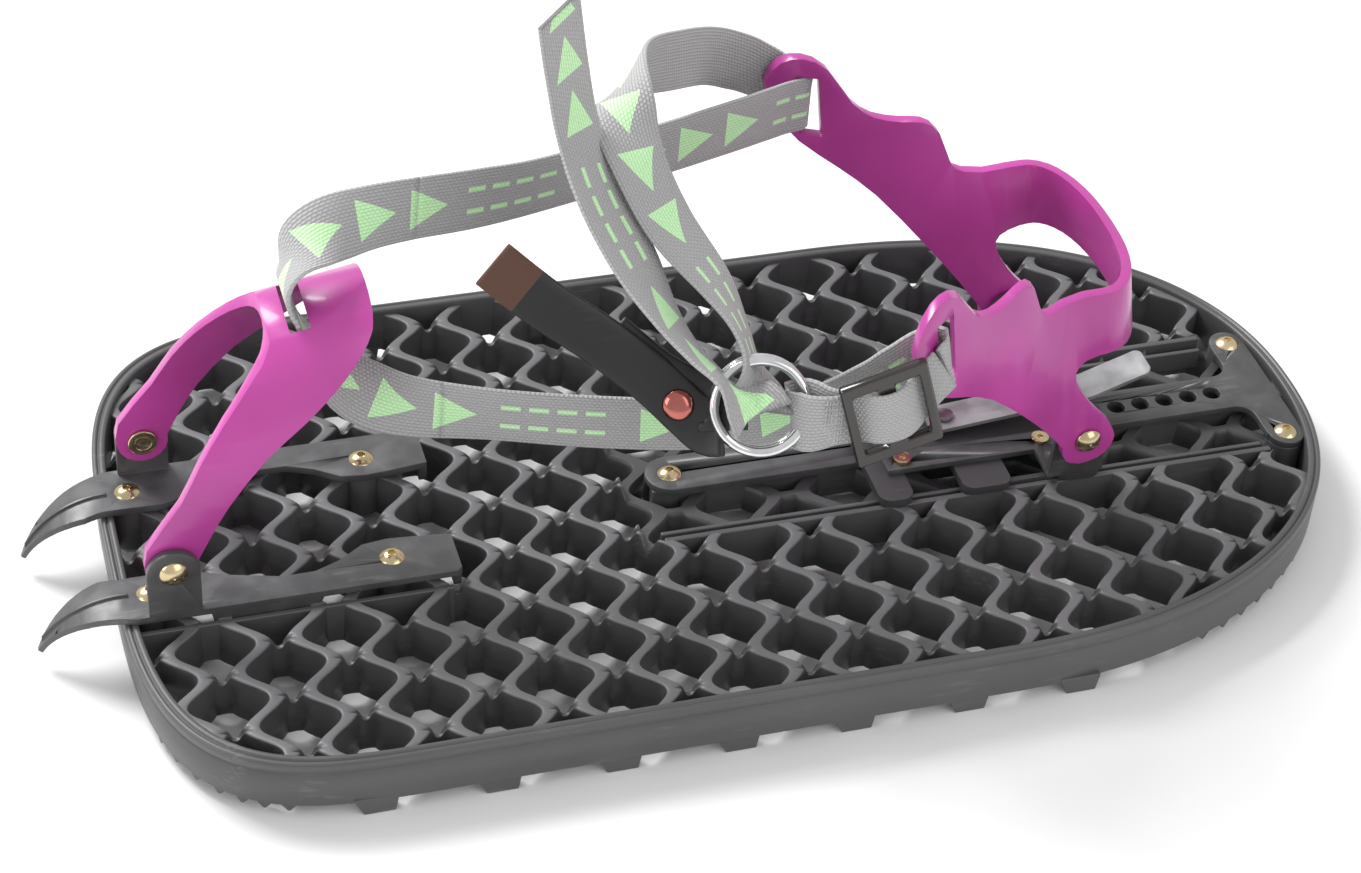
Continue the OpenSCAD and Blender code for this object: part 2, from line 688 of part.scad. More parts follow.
// Half plan of the cup: a flared side, then a rounded back
function cup_plan(u) = u < 0
    ? let(d = -u * cup_ear, f = max(0, d - cup_flat))
        [cup_x0 - d, cup_out + cup_flare * (sqrt(f * f + 64) - 8)]
    : [cup_x0 + cup_back * power(sin(90 * u), cup_n), cup_out * power(cos(90 * u), cup_n)];
function cup_offset(u, t) = let(e = 0.01, p = cup_plan(u),
    d = unit(cup_plan(min(u + e, 1)) - cup_plan(u - e)))
    u > 0.99 ? [cup_x0 + cup_back - t, 0] : p + [d[1], -d[0]] * t;
cup_turns = [-1, -0.7, -0.4, -0.25, -0.15, -0.08, -0.02, 0.02, 0.1, 0.2, 0.3, 0.4, 0.5, 0.6,
    0.7, 0.8, 0.9, 1];

module cup_ring() {
    n = len(cup_turns);
    polygon(concat(
        [for (u = cup_turns) cup_offset(u, 0)],
        [for (i = [n - 2:-1:0]) let(p = cup_offset(cup_turns[i], 0)) [p[0], -p[1]]],
        [for (i = [0:n - 1]) let(p = cup_offset(cup_turns[i], cup_t)) [p[0], -p[1]]],
        [for (i = [n - 2:-1:0]) cup_offset(cup_turns[i], cup_t)]));
}

// Side view of the cup about the heel pivot: leg, ear, bump and back band
cup_boss = 9.5;
cup_side = [[-9.5, 0], [-18, 11], [-29, 23.5], [-45, 40], [-57, 48.5], [-69, 56],
    [-77, 66], [-80.5, 77], [-77, 86], [-71, 89.5], [-64, 87], [-56, 76], [-49.5, 72], [-42, 72.5],
    [-36, 74], [-31, 71], [-26.5, 60], [-22, 57], [-9, 59], [6, 59], [20, 57.5], [34, 56], [34, 36],
    [18, 36], [4, 35.5], [-5, 33.5], [-8.5, 29], [-6, 22], [0, 13.5], [6.5, 6.5], [9.5, 0]];
ear_slot = [-67.5, 71];

module cup_profile() {
    difference() {
        polygon(concat([for (t = [0:0.5:len(cup_side) - 1]) spline(cup_side, t)],
            [for (a = [-20:-20:-160]) cup_boss * [cos(a), sin(a)]]));
        translate(ear_slot) rotate(8) square([6.6, web_w + 3], center = true);
    }
}

module heel_cup() {
    color([0.78, 0.29, 0.62]) difference() {
        intersection() {
            translate([0, 0, cup_mid_z]) rotate([0, -cup_tilt, 0])
                linear_extrude(200, center = true) cup_ring();
            side_extrude(-90, 90) translate(heel_pivot) cup_profile();
        }
        rotate([90, 0, 0]) translate([heel_pivot[0], heel_pivot[1], 0])
            cylinder(r = rivet_r + pivot_gap, h = 200, center = true);
    }
}

module heel_rivets() {
    color([0.80, 0.68, 0.45]) both_sides() translate([heel_pivot[0], 0, heel_pivot[1]]) {
        pivot_rivet(lug_in - 1, cup_out + 0.8);
        rotate([-90, 0, 0]) translate([0, 0, lug_in - 1.2]) cylinder(r = 4.4, h = 1.2);
    }
}

module heel_washers() {
    gap = cup_out - cup_t - lug_in - 2;
    color([0.25, 0.25, 0.26]) both_sides() translate([heel_pivot[0], 0, heel_pivot[1]])
        rotate([-90, 0, 0]) translate([0, 0, lug_in + 2]) difference() {
            cylinder(r = 8, h = gap - 0.3);
            translate([0, 0, -1]) cylinder(r = rivet_r, h = gap + 2);
        }
}

// ---------------------------------------------------------------- Webbing

// A flat band along a list of [point, direction across the band]
module band(route, wide, thick, per_span = 3) {
    n = (len(route) - 1) * per_span;
    p = [for (r = route) r[0]];
    w = [for (r = route) r[1]];
    at = [for (i = [0:n]) spline(p, i / per_span)];
    across = [for (i = [0:n]) unit(spline(w, i / per_span))];
    along = [for (i = [0:n]) unit(at[min(i + 1, n)] - at[max(i - 1, 0)])];
    side = [for (i = [0:n]) unit(across[i] - (across[i] * along[i]) * along[i])];
    up = [for (i = [0:n]) unit(cross(along[i], side[i]))];
    pts = [for (i = [0:n], c = [[1, 1], [-1, 1], [-1, -1], [1, -1]])
        at[i] + side[i] * c[0] * wide / 2 + up[i] * c[1] * thick / 2];
    polyhedron(pts, concat([[0, 1, 2], [0, 2, 3]],
        [for (i = [0:n - 1], j = [0:3], h = [0, 1]) let(a = 4 * i + j, b = 4 * i + (j + 1) % 4)
            h == 0 ? [a, a + 4, b + 4] : [a, b + 4, b]],
        [[4 * n + 2, 4 * n + 1, 4 * n], [4 * n + 3, 4 * n + 2, 4 * n]]), convexity = 8);
}

// Points of the routes: by the crown's slot, by the cup's ears, and between them.
// Distances across are shares of the ears' distance from the middle.
ear_at = heel_pivot + ear_slot;
ear_y = cup_plan((ear_slot[0] + 7.3) / cup_ear)[1];
function by_crown(x, y, z) = [crown_slot[0] + x, y, crown_slot[1] + z];
function by_ear(x, out, z) = [ear_at[0] + x, out * ear_y, ear_at[1] + z];
function on_run(f, out, z) = let(p = crown_slot + (ear_at - crown_slot) * f)
    [p[0], out * ear_y, p[1] + z];

web_color = [0.70, 0.70, 0.70];
across_y = [0, 1, 0];
upright = [0, 0, 1];

module strap_upper() {
    color(web_color) band([
        [by_crown(-2.5, 0, 5.9), across_y],
        [by_crown(0.5, 1, 11.9), [0.1, 1, 0]],
        [by_crown(8.5, 5, 17.9), [-0.2, 0.8, 0.5]],
        [by_crown(22.5, 10, 18.9), [-0.2, 0.3, 0.9]],
        [on_run(0.28, 0.27, 13.2), [-0.1, 0.1, 1]], [on_run(0.457, 0.43, 8.3), upright],
        [on_run(0.668, 0.66, 5.3), upright],
        [by_ear(-30, 0.8, 3.5), upright],
        [by_ear(-6, 0.925, 4.5), upright]],
        web_w, web_t);
}

module strap_lower() {
    color(web_color) band([
        [by_crown(2.5, -2, -10.1), across_y],
        [by_crown(7.5, -4, -18.1), [0.2, 1, 0]],
        [by_crown(14.5, -8, -27.1), [0.4, 0.8, 0.5]],
        [by_crown(28.5, -14, -33.1), [0.2, 0.3, 0.9]],
        [on_run(0.291, -0.3, -35.3), upright], [on_run(0.479, -0.46, -36.2), upright],
        [on_run(0.645, -0.6, -35.1), upright],
        [by_ear(-32, -0.74, -30.5), [-0.1, 0, 1]],
        [by_ear(-8, -0.865, -12.5), [-0.45, 0, 1]]], web_w, web_t);
}

module strap_crossover() {
    color(web_color) band([
        [by_ear(-3, 1.105, 6.5), upright],
        [by_ear(-15, 1.19, 11.5), [0.1, 0, 1]],
        [by_ear(-31, 1.107, 20.5), [0.1, 0, 1]],
        [by_ear(-50, 0.775, 32.5), [0.2, 0.2, 1]],
        [by_ear(-70, 0.415, 45.5), [0.5, 0.3, 0.8]],
        [by_ear(-81, 0.089, 51.5), [0.9, 0.2, 0.4]],
        [by_ear(-81, -0.148, 43.5), [1, 0, 0]],
        [by_ear(-74, -0.356, 27.5), [1, 0, 0]],
        [by_ear(-63, -0.549, 13.5), [1, 0, 0.1]],
        [by_ear(-57, -0.713, 3.5), [1, 0, 0.1]]], web_w, web_t);
}

module strap_tail() {
    color(web_color) band([
        [by_ear(-73, -0.846, -1.5), [1, 0, 0]],
        [by_ear(-80, -0.743, 9.5), [1, 0, 0]],
        [by_ear(-87, -0.533, 23.5), [1, 0, 0]],
        [by_ear(-94, -0.327, 37.5), [1, 0, -0.1]],
        [by_ear(-98, -0.148, 52.5), [1, 0, -0.1]],
        [by_ear(-101, -0.089, 71.5), [1, 0, -0.1]],
        [by_ear(-104, -0.089, 91.5), [1, 0, -0.1]]], web_w, web_t);
}

ring_mid = by_ear(-55, -0.955, -13.5);
ring_axis = [-0.21, -0.84, 0.5];
glide_mid = by_ear(-19.5, -1.163, -11.5);
glide_tilt = 16;
module strap_ring_end() {
    color(web_color) band([
        [by_ear(-40, -1.18, -14), upright],
        [by_ear(-32, -1.21, -13), upright],
        [by_ear(-20, -1.213, -12), upright],
        [by_ear(-6, -1.213, -9.5), [-0.2, 0, 1]],
        [by_ear(2, -1.213, -5.5), [-0.3, 0, 1]]], web_w - 1, web_t);
}

module ring(mid, tilt) {
    translate(mid) rotate([90 - tilt, 0, -14]) rotate_extrude()
        translate([ring_r, 0]) circle(r = wire_r, $fn = 24);
}

module ring_front() {
    color([0.82, 0.82, 0.84]) ring(ring_mid + ring_axis * (wire_r + 0.15), 30);
}

module ring_back() {
    color([0.82, 0.82, 0.84]) ring(ring_mid - ring_axis * (wire_r + 0.15), 30);
}

// Three-bar slider on the webbing
module triglide() {
    color([0.12, 0.10, 0.10]) translate(glide_mid) rotate([90, -glide_tilt, 0])
        linear_extrude(3, center = true) difference() {
            square([27, web_w + 11], center = true);
            for (x = [-6.6, 6.6]) translate([x, 0]) square([8, web_w + 3], center = true);
        }
}

module pull_tab() {
    color([0.10, 0.09, 0.09]) band([
        [by_ear(-75.5, -0.831, -16.5), [0.45, 0.4, 0.8]],
        [by_ear(-84, -0.743, -8.5), [0.4, 0.4, 0.8]],
        [by_ear(-98, -0.652, 3.5), [0.4, 0.3, 0.8]],
        [by_ear(-114, -0.549, 14.5), [0.4, 0.3, 0.8]],
        [by_ear(-128, -0.46, 26.5), [0.4, 0.3, 0.8]]], 17, 2.6);
}

module pull_tab_rivet() {
    color([0.72, 0.45, 0.40]) translate(by_ear(-84, -0.743, -8.5)) rotate([52, 0, -25])
        cylinder(r = 3.6, h = 5, center = true);
}

at_frame() deck();
at_frame() claw_bar_left();
at_frame() claw_bar_right();
at_frame() claw_screws();
at_frame() claw_nuts();
at_frame() toe_loop();
at_frame() toe_rivets();
at_frame() toe_eyelets();
at_frame() rail_plate();
at_frame() rail_screws();
at_frame() rail_nuts();
at_frame() heel_carriage();
at_frame() heel_bracket();
at_frame() bracket_screws();
at_frame() size_lever();
at_frame() lever_rivet();
at_frame() lock_pin();
at_frame() heel_cup();
at_frame() heel_rivets();
at_frame() heel_washers();
at_frame() strap_lower();
at_frame() strap_upper();
at_frame() strap_crossover();
at_frame() strap_tail();
at_frame() strap_ring_end();
at_frame() triglide();
at_frame() ring_front();
at_frame() ring_back();
at_frame() pull_tab();
at_frame() pull_tab_rivet();
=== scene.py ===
"""Looks of a snowshoe: honeycomb deck, claws, toe loop, heel cup and webbing."""
from __future__ import annotations

import logging
import math
from dataclasses import dataclass
from enum import Enum
from typing import Sequence

import bmesh
import bpy
import numpy as np
from mathutils import Matrix, Vector


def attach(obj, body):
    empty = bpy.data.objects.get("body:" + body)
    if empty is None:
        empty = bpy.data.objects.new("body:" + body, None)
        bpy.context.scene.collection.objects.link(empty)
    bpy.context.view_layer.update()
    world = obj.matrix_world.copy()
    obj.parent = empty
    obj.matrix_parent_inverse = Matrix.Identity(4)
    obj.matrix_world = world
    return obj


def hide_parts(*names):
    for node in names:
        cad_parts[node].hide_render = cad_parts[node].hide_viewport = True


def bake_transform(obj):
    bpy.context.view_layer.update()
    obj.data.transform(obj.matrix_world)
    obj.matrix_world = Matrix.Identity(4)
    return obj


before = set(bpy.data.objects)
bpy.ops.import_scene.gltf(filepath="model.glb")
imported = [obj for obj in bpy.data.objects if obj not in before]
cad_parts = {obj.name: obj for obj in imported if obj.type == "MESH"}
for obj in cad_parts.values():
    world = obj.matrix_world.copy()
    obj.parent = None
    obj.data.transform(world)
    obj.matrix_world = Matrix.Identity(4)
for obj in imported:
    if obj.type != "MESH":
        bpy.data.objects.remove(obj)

LOG = logging.getLogger("snowshoe")
MM = 0.001
SHIFT = 12.5
UNDER = 40.0

Point = Sequence[float]
Route = Sequence[tuple[Point, Point]]


def power(value: float, n: float) -> float:
    """Signed power 2/n, the superellipse's building block."""
    return math.copysign(abs(value) ** (2 / n), value)


def unit(v: np.ndarray) -> np.ndarray:
    """Vector of length one along v."""
    return v / max(float(np.linalg.norm(v)), 1e-12)


def spline(points: np.ndarray, t: float) -> np.ndarray:
    """Catmull-Rom curve through points.

    Args:
        points: One row per point.
        t: Place along the curve, from 0 to the last point's index.

    Returns:
        The curve's point at t.
    """
    n = len(points) - 1
    i = min(int(t), n - 1)
    u = t - i
    a, b, c, d = (points[j] for j in (max(i - 1, 0), i, i + 1, min(i + 2, n)))
    return 0.5 * (2 * b + (c - a) * u + (2 * a - 5 * b + 4 * c - d) * u * u
                  + (3 * b - a - 3 * c + d) * u ** 3)


def make_piece(name: str, verts: Sequence[Point], faces: Sequence[Sequence[int]],
               uvs: Sequence[Point] | None = None, weld: float = 0.0) -> bpy.types.Object:
    """Makes a mesh object from deck millimetres.

    Args:
        name: The piece's name.
        verts: Points in millimetres, in the deck's frame.
        faces: Indices of each face's corners.
        uvs: One pair for each corner of each face, in order.
        weld: Distance in millimetres under which points are joined.

    Returns:
        The new object, smooth shaded.
    """
    mesh = bpy.data.meshes.new(name)
    co = np.asarray(verts, float)
    mesh.from_pydata([tuple(p) for p in (co + [SHIFT, 0, 0]) * MM], [], [tuple(f) for f in faces])
    if uvs is not None:
        layer = mesh.uv_layers.new(name="UVMap")
        layer.data.foreach_set("uv", np.asarray(uvs, np.float32).ravel())
    if weld:
        bm = bmesh.new()
        bm.from_mesh(mesh)
        bmesh.ops.remove_doubles(bm, verts=bm.verts, dist=weld * MM)
        bmesh.ops.dissolve_degenerate(bm, edges=bm.edges, dist=1e-6)
        bmesh.ops.recalc_face_normals(bm, faces=bm.faces)
        bm.to_mesh(mesh)
        bm.free()
    mesh.polygons.foreach_set("use_smooth", [True] * len(mesh.polygons))
    mesh.update()
    piece = bpy.data.objects.new(name, mesh)
    bpy.context.scene.collection.objects.link(piece)
    return piece


def soften(piece: bpy.types.Object, width: float, segments: int = 2, angle: float = 32,
           weld: bool = False) -> None:
    """Rounds a piece's sharp edges and keeps its flats flat.

    Args:
        piece: The object to soften.
        width: Width of the rounding in millimetres.
        segments: Steps in the rounding.
        angle: Edges sharper than this, in degrees, are rounded.
        weld: Joins split points first.
    """
    if weld:
        join = piece.modifiers.new("Weld", "WELD")
        join.merge_threshold = 1e-5
    mod = piece.modifiers.new("Soft edges", "BEVEL")
    mod.width = width * MM
    mod.segments = segments
    mod.limit_method = "ANGLE"
    mod.angle_limit = math.radians(angle)
    mod.harden_normals = True
    piece.data.polygons.foreach_set("use_smooth", [True] * len(piece.data.polygons))


# ------------------------------------------------------------------ finishes


class Graph:
    """Adds nodes to one shader tree and joins them."""

    def __init__(self, tree: bpy.types.NodeTree) -> None:
        """Keeps the tree that nodes are added to."""
        self.tree = tree

    def add(self, kind: str, inputs: dict | None = None, **settings: object) -> bpy.types.Node:
        """Adds a node.

        Args:
            kind: The node's type name without "ShaderNode".
            inputs: Values or sockets for its inputs.
            settings: Attributes of the node.

        Returns:
            The new node.
        """
        node = self.tree.nodes.new("ShaderNode" + kind)
        for key, value in settings.items():
            setattr(node, key, value)
        for key, value in (inputs or {}).items():
            self.put(node.inputs[key], value)
        return node

    def put(self, socket: bpy.types.NodeSocket, value: object) -> None:
        """Joins a socket to an input, or sets the input's value."""
        if isinstance(value, bpy.types.NodeSocket):
            self.tree.links.new(value, socket)
        else:
            socket.default_value = value

    def calc(self, operation: str, a: object, b: object = 0.0,
             c: object = 0.0) -> bpy.types.NodeSocket:
        """Result of a Math node on up to three values."""
        node = self.add("Math", {0: a, 1: b, 2: c}, operation=operation)
        return node.outputs[0]

    def mix(self, amount: object, a: object, b: object) -> bpy.types.NodeSocket:
        """Colour mixed from a to b by amount."""
        node = self.add("Mix", data_type="RGBA")
        self.put(node.inputs[0], amount)
        self.put(node.inputs[6], a)
        self.put(node.inputs[7], b)
        return node.outputs[2]

    def remap(self, value: object, low: float, high: float, to_low: float = 0.0,
              to_high: float = 1.0) -> bpy.types.NodeSocket:
        """Value moved smoothly from the range low-high to another range."""
        node = self.add("MapRange", {"Value": value, "From Min": low, "From Max": high,
                                     "To Min": to_low, "To Max": to_high},
                        interpolation_type="SMOOTHSTEP")
        return node.outputs[0]


def new_group(name: str, inputs: dict[str, tuple[str, object]],
              outputs: dict[str, str]) -> tuple[bpy.types.NodeTree, Graph, dict, bpy.types.Node]:
    """Starts a shader node group.

    Args:
        name: The group's name.
        inputs: For each input its socket type and default.
        outputs: For each output its socket type.

    Returns:
        The tree, a graph on it, its input sockets by name, and its output node.
    """
    tree = bpy.data.node_groups.new(name, "ShaderNodeTree")
    for key, (kind, default) in inputs.items():
        socket = tree.interface.new_socket(key, in_out="INPUT", socket_type="NodeSocket" + kind)
        if default is not None:
            socket.default_value = default
    for key, kind in outputs.items():
        tree.interface.new_socket(key, in_out="OUTPUT", socket_type="NodeSocket" + kind)
    graph = Graph(tree)
    entry = tree.nodes.new("NodeGroupInput")
    return tree, graph, {s.name: s for s in entry.outputs}, tree.nodes.new("NodeGroupOutput")


class Effects:
    """Shader effects that several finishes share."""

    def __init__(self) -> None:
        """Builds each effect once."""
        self.grain = self._grain()
        self.scuffs = self._scuffs()
        self.brushed = self._brushed()
        self.weave = self._weave()
        self.marks = self._marks()

    @staticmethod
    def _grain() -> bpy.types.NodeTree:
        """Fine moulded grain with a slow change of tone."""
        tree, g, at, out = new_group(
            "Moulded grain", {"Place": ("Vector", None), "Scale": ("Float", 900.0)},
            {"Height": "Float", "Tone": "Float"})
        fine = g.add("TexNoise", {"Vector": at["Place"], "Scale": at["Scale"], "Detail": 3.0})
        slow = g.add("TexNoise", {"Vector": at["Place"], "Scale": 22.0, "Detail": 2.0})
        g.put(out.inputs["Height"], fine.outputs[0])
        g.put(out.inputs["Tone"], slow.outputs[0])
        return tree

    @staticmethod
    def _scuffs() -> bpy.types.NodeTree:
        """Sparse scratches and rubbed spots, as a mask."""
        tree, g, at, out = new_group(
            "Scuffs", {"Place": ("Vector", None), "Spread": ("Float", 0.62)}, {"Mask": "Float"})
        bend = g.add("TexNoise", {"Vector": at["Place"], "Scale": 60.0, "Detail": 5.0})
        streak = g.add("Mapping", {"Vector": at["Place"], "Scale": (60.0, 700.0, 700.0)})
        line = g.add("TexNoise", {"Vector": streak.outputs[0], "Scale": 1.0, "Detail": 2.0})
        both = g.calc("MULTIPLY", bend.outputs[0], line.outputs[0])
        high = g.calc("MULTIPLY", at["Spread"], at["Spread"])
        over = g.calc("SUBTRACT", both, high)
        g.put(out.inputs["Mask"], g.remap(over, -0.06, 0.06))
        return tree

    @staticmethod
    def _brushed() -> bpy.types.NodeTree:
        """Long fine lines of rolled or brushed metal."""
        tree, g, at, out = new_group(
            "Brushed lines", {"Place": ("Vector", None)}, {"Height": "Float", "Tone": "Float"})
        stretch = g.add("Mapping", {"Vector": at["Place"], "Scale": (40.0, 1500.0, 1500.0)})
        line = g.add("TexNoise", {"Vector": stretch.outputs[0], "Scale": 1.0, "Detail": 3.0})
        spot = g.add("TexNoise", {"Vector": at["Place"], "Scale": 120.0, "Detail": 4.0})
        g.put(out.inputs["Height"], line.outputs[0])
        g.put(out.inputs["Tone"], spot.outputs[0])
        return tree

    @staticmethod
    def _weave() -> bpy.types.NodeTree:
        """Plain weave of webbing: rows along it and picks across it."""
        tree, g, at, out = new_group(
            "Webbing weave", {"Cloth": ("Vector", None), "Rows": ("Float", 1.05),
                              "Picks": ("Float", 1.45)},
            {"Height": "Float", "Shade": "Float"})
        xy = g.add("SeparateXYZ", {"Vector": at["Cloth"]})
        turn = 2 * math.pi
        row = g.calc("DIVIDE", g.calc("MULTIPLY", xy.outputs[1], turn * 0.5), at["Rows"])
        pick = g.calc("DIVIDE", g.calc("MULTIPLY", xy.outputs[0], turn * 0.5), at["Picks"])
        across = g.calc("ABSOLUTE", g.calc("SINE", row))
        odd = g.calc("MODULO", g.calc("FLOOR", g.calc("DIVIDE", xy.outputs[1], at["Rows"])), 2.0)
        along = g.calc("ABSOLUTE", g.calc(
            "SINE", g.calc("ADD", pick, g.calc("MULTIPLY", odd, turn * 0.25))))
        height = g.calc("MULTIPLY", g.calc("POWER", across, 0.6), g.calc("ADD", along, 0.35))
        fuzz = g.add("TexNoise", {"Vector": at["Cloth"], "Scale": 3.0, "Detail": 3.0})
        g.put(out.inputs["Height"], g.calc("ADD", height, g.calc(
            "MULTIPLY", fuzz.outputs[0], 0.25)))
        g.put(out.inputs["Shade"], g.remap(height, 0.0, 0.9, 0.45, 1.1))
        return tree

    @staticmethod
    def _marks() -> bpy.types.NodeTree:
        """Printed triangles and dashes along one face of the webbing, as a mask."""
        tree, g, at, out = new_group(
            "Printed marks", {"Cloth": ("Vector", None), "Start": ("Float", 0.0)},
            {"Mask": "Float"})
        xy = g.add("SeparateXYZ", {"Vector": at["Cloth"]})
        u = g.calc("ADD", xy.outputs[0], at["Start"])
        v = xy.outputs[1]
        local = g.calc("MODULO", g.calc("ADD", u, 4640.0), 116.0)
        # Four triangles in a row, each 13 mm long
        masks = []
        for start in (4.0, 22.0, 40.0, 58.0):
            x = g.calc("SUBTRACT", local, start)
            inside = g.calc("MULTIPLY", g.calc("GREATER_THAN", x, 0.0),
                            g.calc("LESS_THAN", x, 13.0))
            half = g.calc("MULTIPLY", g.calc("SUBTRACT", 13.0, x), 0.5)
            masks.append(g.calc("MULTIPLY", inside, g.calc(
                "LESS_THAN", g.calc("ABSOLUTE", v), half)))
        # A double line of thin dashes
        x = g.calc("SUBTRACT", local, 78.0)
        span = g.calc("MULTIPLY", g.calc("GREATER_THAN", x, 0.0), g.calc("LESS_THAN", x, 34.0))
        dash = g.calc("LESS_THAN", g.calc("MODULO", x, 8.5), 6.0)
        pair = g.calc("LESS_THAN", g.calc("ABSOLUTE", g.calc(
            "SUBTRACT", g.calc("ABSOLUTE", v), 3.6)), 0.8)
        masks.append(g.calc("MULTIPLY", g.calc("MULTIPLY", span, dash), pair))
        total = masks[0]
        for mask in masks[1:]:
            total = g.calc("MAXIMUM", total, mask)
        g.put(out.inputs["Mask"], total)
        return tree


class Coordinates(Enum):
    """Where a finish takes its place on the piece from."""

    SOLID = "Object"
    CLOTH = "UV"


@dataclass(frozen=True)
class Finish:
    """What every finish has: a name and a base colour."""

    name: str
    color: tuple[float, float, float]

    def start(self, place: Coordinates) -> tuple[bpy.types.Material, Graph, bpy.types.Node,
                                                 bpy.types.NodeSocket]:
        """Makes the material with its Principled shader.

        Args:
            place: Which coordinates the finish uses.

        Returns:
            The material, a graph on it, its shader and its coordinates.
        """
        material = bpy.data.materials.new(self.name)
        material.use_nodes = True
        material.diffuse_color = (*self.color, 1.0)
        graph = Graph(material.node_tree)
        shader = material.node_tree.nodes["Principled BSDF"]
        where = graph.add("TexCoord").outputs[place.value]
        return material, graph, shader, where

    @staticmethod
    def tint(color: Sequence[float], factor: float) -> tuple[float, float, float, float]:
        """Colour made lighter or darker."""
        return (*(min(1.0, c * factor) for c in color), 1.0)


@dataclass(frozen=True)
class Moulded(Finish):
    """Moulded plastic with grain, slow tone changes and light scuffs, and, when asked, a painted
    highlight on everything above a given height.
    """

    rough: float = 0.42
    grain: float = 0.012
    scale: float = 900.0
    wear: float = 0.35
    coat: float = 0.0
    # Heights in mm over which the colour turns lighter: a painted highlight on the tops, not wear.
    lit_tops: tuple[float, float] | None = None

    def build(self, fx: Effects) -> bpy.types.Material:
        """Builds the material from the shared effects."""
        material, g, shader, where = self.start(Coordinates.SOLID)
        grain = g.add("Group", node_tree=fx.grain)
        g.put(grain.inputs["Place"], where)
        g.put(grain.inputs["Scale"], self.scale)
        scuff = g.add("Group", node_tree=fx.scuffs)
        g.put(scuff.inputs["Place"], where)
        tone = g.mix(g.remap(grain.outputs["Tone"], 0.3, 0.7), self.tint(self.color, 0.9),
                     self.tint(self.color, 1.1))
        base_tone = g.mix(g.calc("MULTIPLY", scuff.outputs["Mask"], self.wear), tone,
                     self.tint([c + 0.05 for c in self.color], 1.35))
        # Painted highlight: above the given height the colour is made much lighter, as if the tops
        # caught the light.
        if self.lit_tops:
            height = g.add("SeparateXYZ", {"Vector": where}).outputs[2]
            low, high = (z * MM for z in self.lit_tops)
            base_tone = g.mix(g.remap(height, low, high), base_tone, self.tint(self.color, 1.9))
        g.put(shader.inputs["Base Color"], base_tone)
        rough = g.remap(grain.outputs["Tone"], 0.3, 0.7, self.rough - 0.05, self.rough + 0.07)
        g.put(shader.inputs["Roughness"], g.calc(
            "ADD", rough, g.calc("MULTIPLY", scuff.outputs["Mask"], 0.12)))
        shader.inputs["Coat Weight"].default_value = self.coat
        shader.inputs["Coat Roughness"].default_value = 0.12
        bump = g.add("Bump", {"Height": grain.outputs["Height"], "Strength": 0.35,
                              "Distance": self.grain * MM})
        g.put(shader.inputs["Normal"], bump.outputs[0])
        return material


@dataclass(frozen=True)
class Metal(Finish):
    """Metal, bare or coated, with rolled lines and spots."""

    rough: float = 0.3
    metallic: float = 1.0
    lines: float = 0.01
    wear: float = 0.2

    def build(self, fx: Effects) -> bpy.types.Material:
        """Builds the material from the shared effects."""
        material, g, shader, where = self.start(Coordinates.SOLID)
        brushed = g.add("Group", node_tree=fx.brushed)
        g.put(brushed.inputs["Place"], where)
        scuff = g.add("Group", node_tree=fx.scuffs)
        g.put(scuff.inputs["Place"], where)
        tone = g.mix(g.remap(brushed.outputs["Tone"], 0.3, 0.7), self.tint(self.color, 0.85),
                     self.tint(self.color, 1.12))
        base_tone = g.mix(g.calc("MULTIPLY", scuff.outputs["Mask"], self.wear), tone,
                     self.tint([c + 0.08 for c in self.color], 1.3))
        g.put(shader.inputs["Base Color"], base_tone)
        shader.inputs["Metallic"].default_value = self.metallic
        g.put(shader.inputs["Roughness"], g.remap(
            brushed.outputs["Tone"], 0.25, 0.75, self.rough * 0.8, self.rough * 1.25))
        bump = g.add("Bump", {"Height": brushed.outputs["Height"], "Strength": 0.25,
                              "Distance": self.lines * MM})
        g.put(shader.inputs["Normal"], bump.outputs[0])
        return material


class PrintSide(Enum):
    """Which face of a webbing run carries the printed marks."""

    NONE = 0
    TOP = 1
    BOTTOM = -1


@dataclass(frozen=True)
class Webbing(Finish):
    """Woven webbing with printed marks on one face."""

    ink: tuple[float, float, float] = (0.62, 1.0, 0.54)
    side: PrintSide = PrintSide.NONE
    offset: float = 0.0

    def build(self, fx: Effects) -> bpy.types.Material:
        """Builds the material; U and V are millimetres along and across the webbing."""
        material, g, shader, where = self.start(Coordinates.CLOTH)
        cloth = g.add("Mapping", {"Vector": where, "Scale": (1000.0, 1000.0, 1.0)})
        xy = g.add("SeparateXYZ", {"Vector": cloth.outputs[0]})
        # The lower face is mapped further across
        under = g.calc("GREATER_THAN", xy.outputs[1], UNDER / 2)
        v = g.calc("SUBTRACT", xy.outputs[1], g.calc("MULTIPLY", under, UNDER))
        flat = g.add("CombineXYZ", {0: xy.outputs[0], 1: v})
        weave = g.add("Group", node_tree=fx.weave)
        g.put(weave.inputs["Cloth"], flat.outputs[0])
        tone = g.mix(weave.outputs["Shade"], self.tint(self.color, 0.45),
                     self.tint(self.color, 1.08))
        if self.side is not PrintSide.NONE:
            marks = g.add("Group", node_tree=fx.marks)
            g.put(marks.inputs["Cloth"], flat.outputs[0])
            g.put(marks.inputs["Start"], self.offset)
            face = under if self.side is PrintSide.BOTTOM else g.calc("SUBTRACT", 1.0, under)
            ink = g.calc("MULTIPLY", marks.outputs["Mask"], face)
            shade = g.mix(weave.outputs["Shade"], self.tint(self.ink, 0.6),
                          self.tint(self.ink, 1.0))
            tone = g.mix(ink, tone, shade)
        g.put(shader.inputs["Base Color"], tone)
        g.put(shader.inputs["Roughness"], g.remap(weave.outputs["Shade"], 0.7, 1.0, 0.85, 0.62))
        shader.inputs["Sheen Weight"].default_value = 0.25
        bump = g.add("Bump", {"Height": weave.outputs["Height"], "Strength": 0.8,
                              "Distance": 0.3 * MM})
        g.put(shader.inputs["Normal"], bump.outputs[0])
        return material


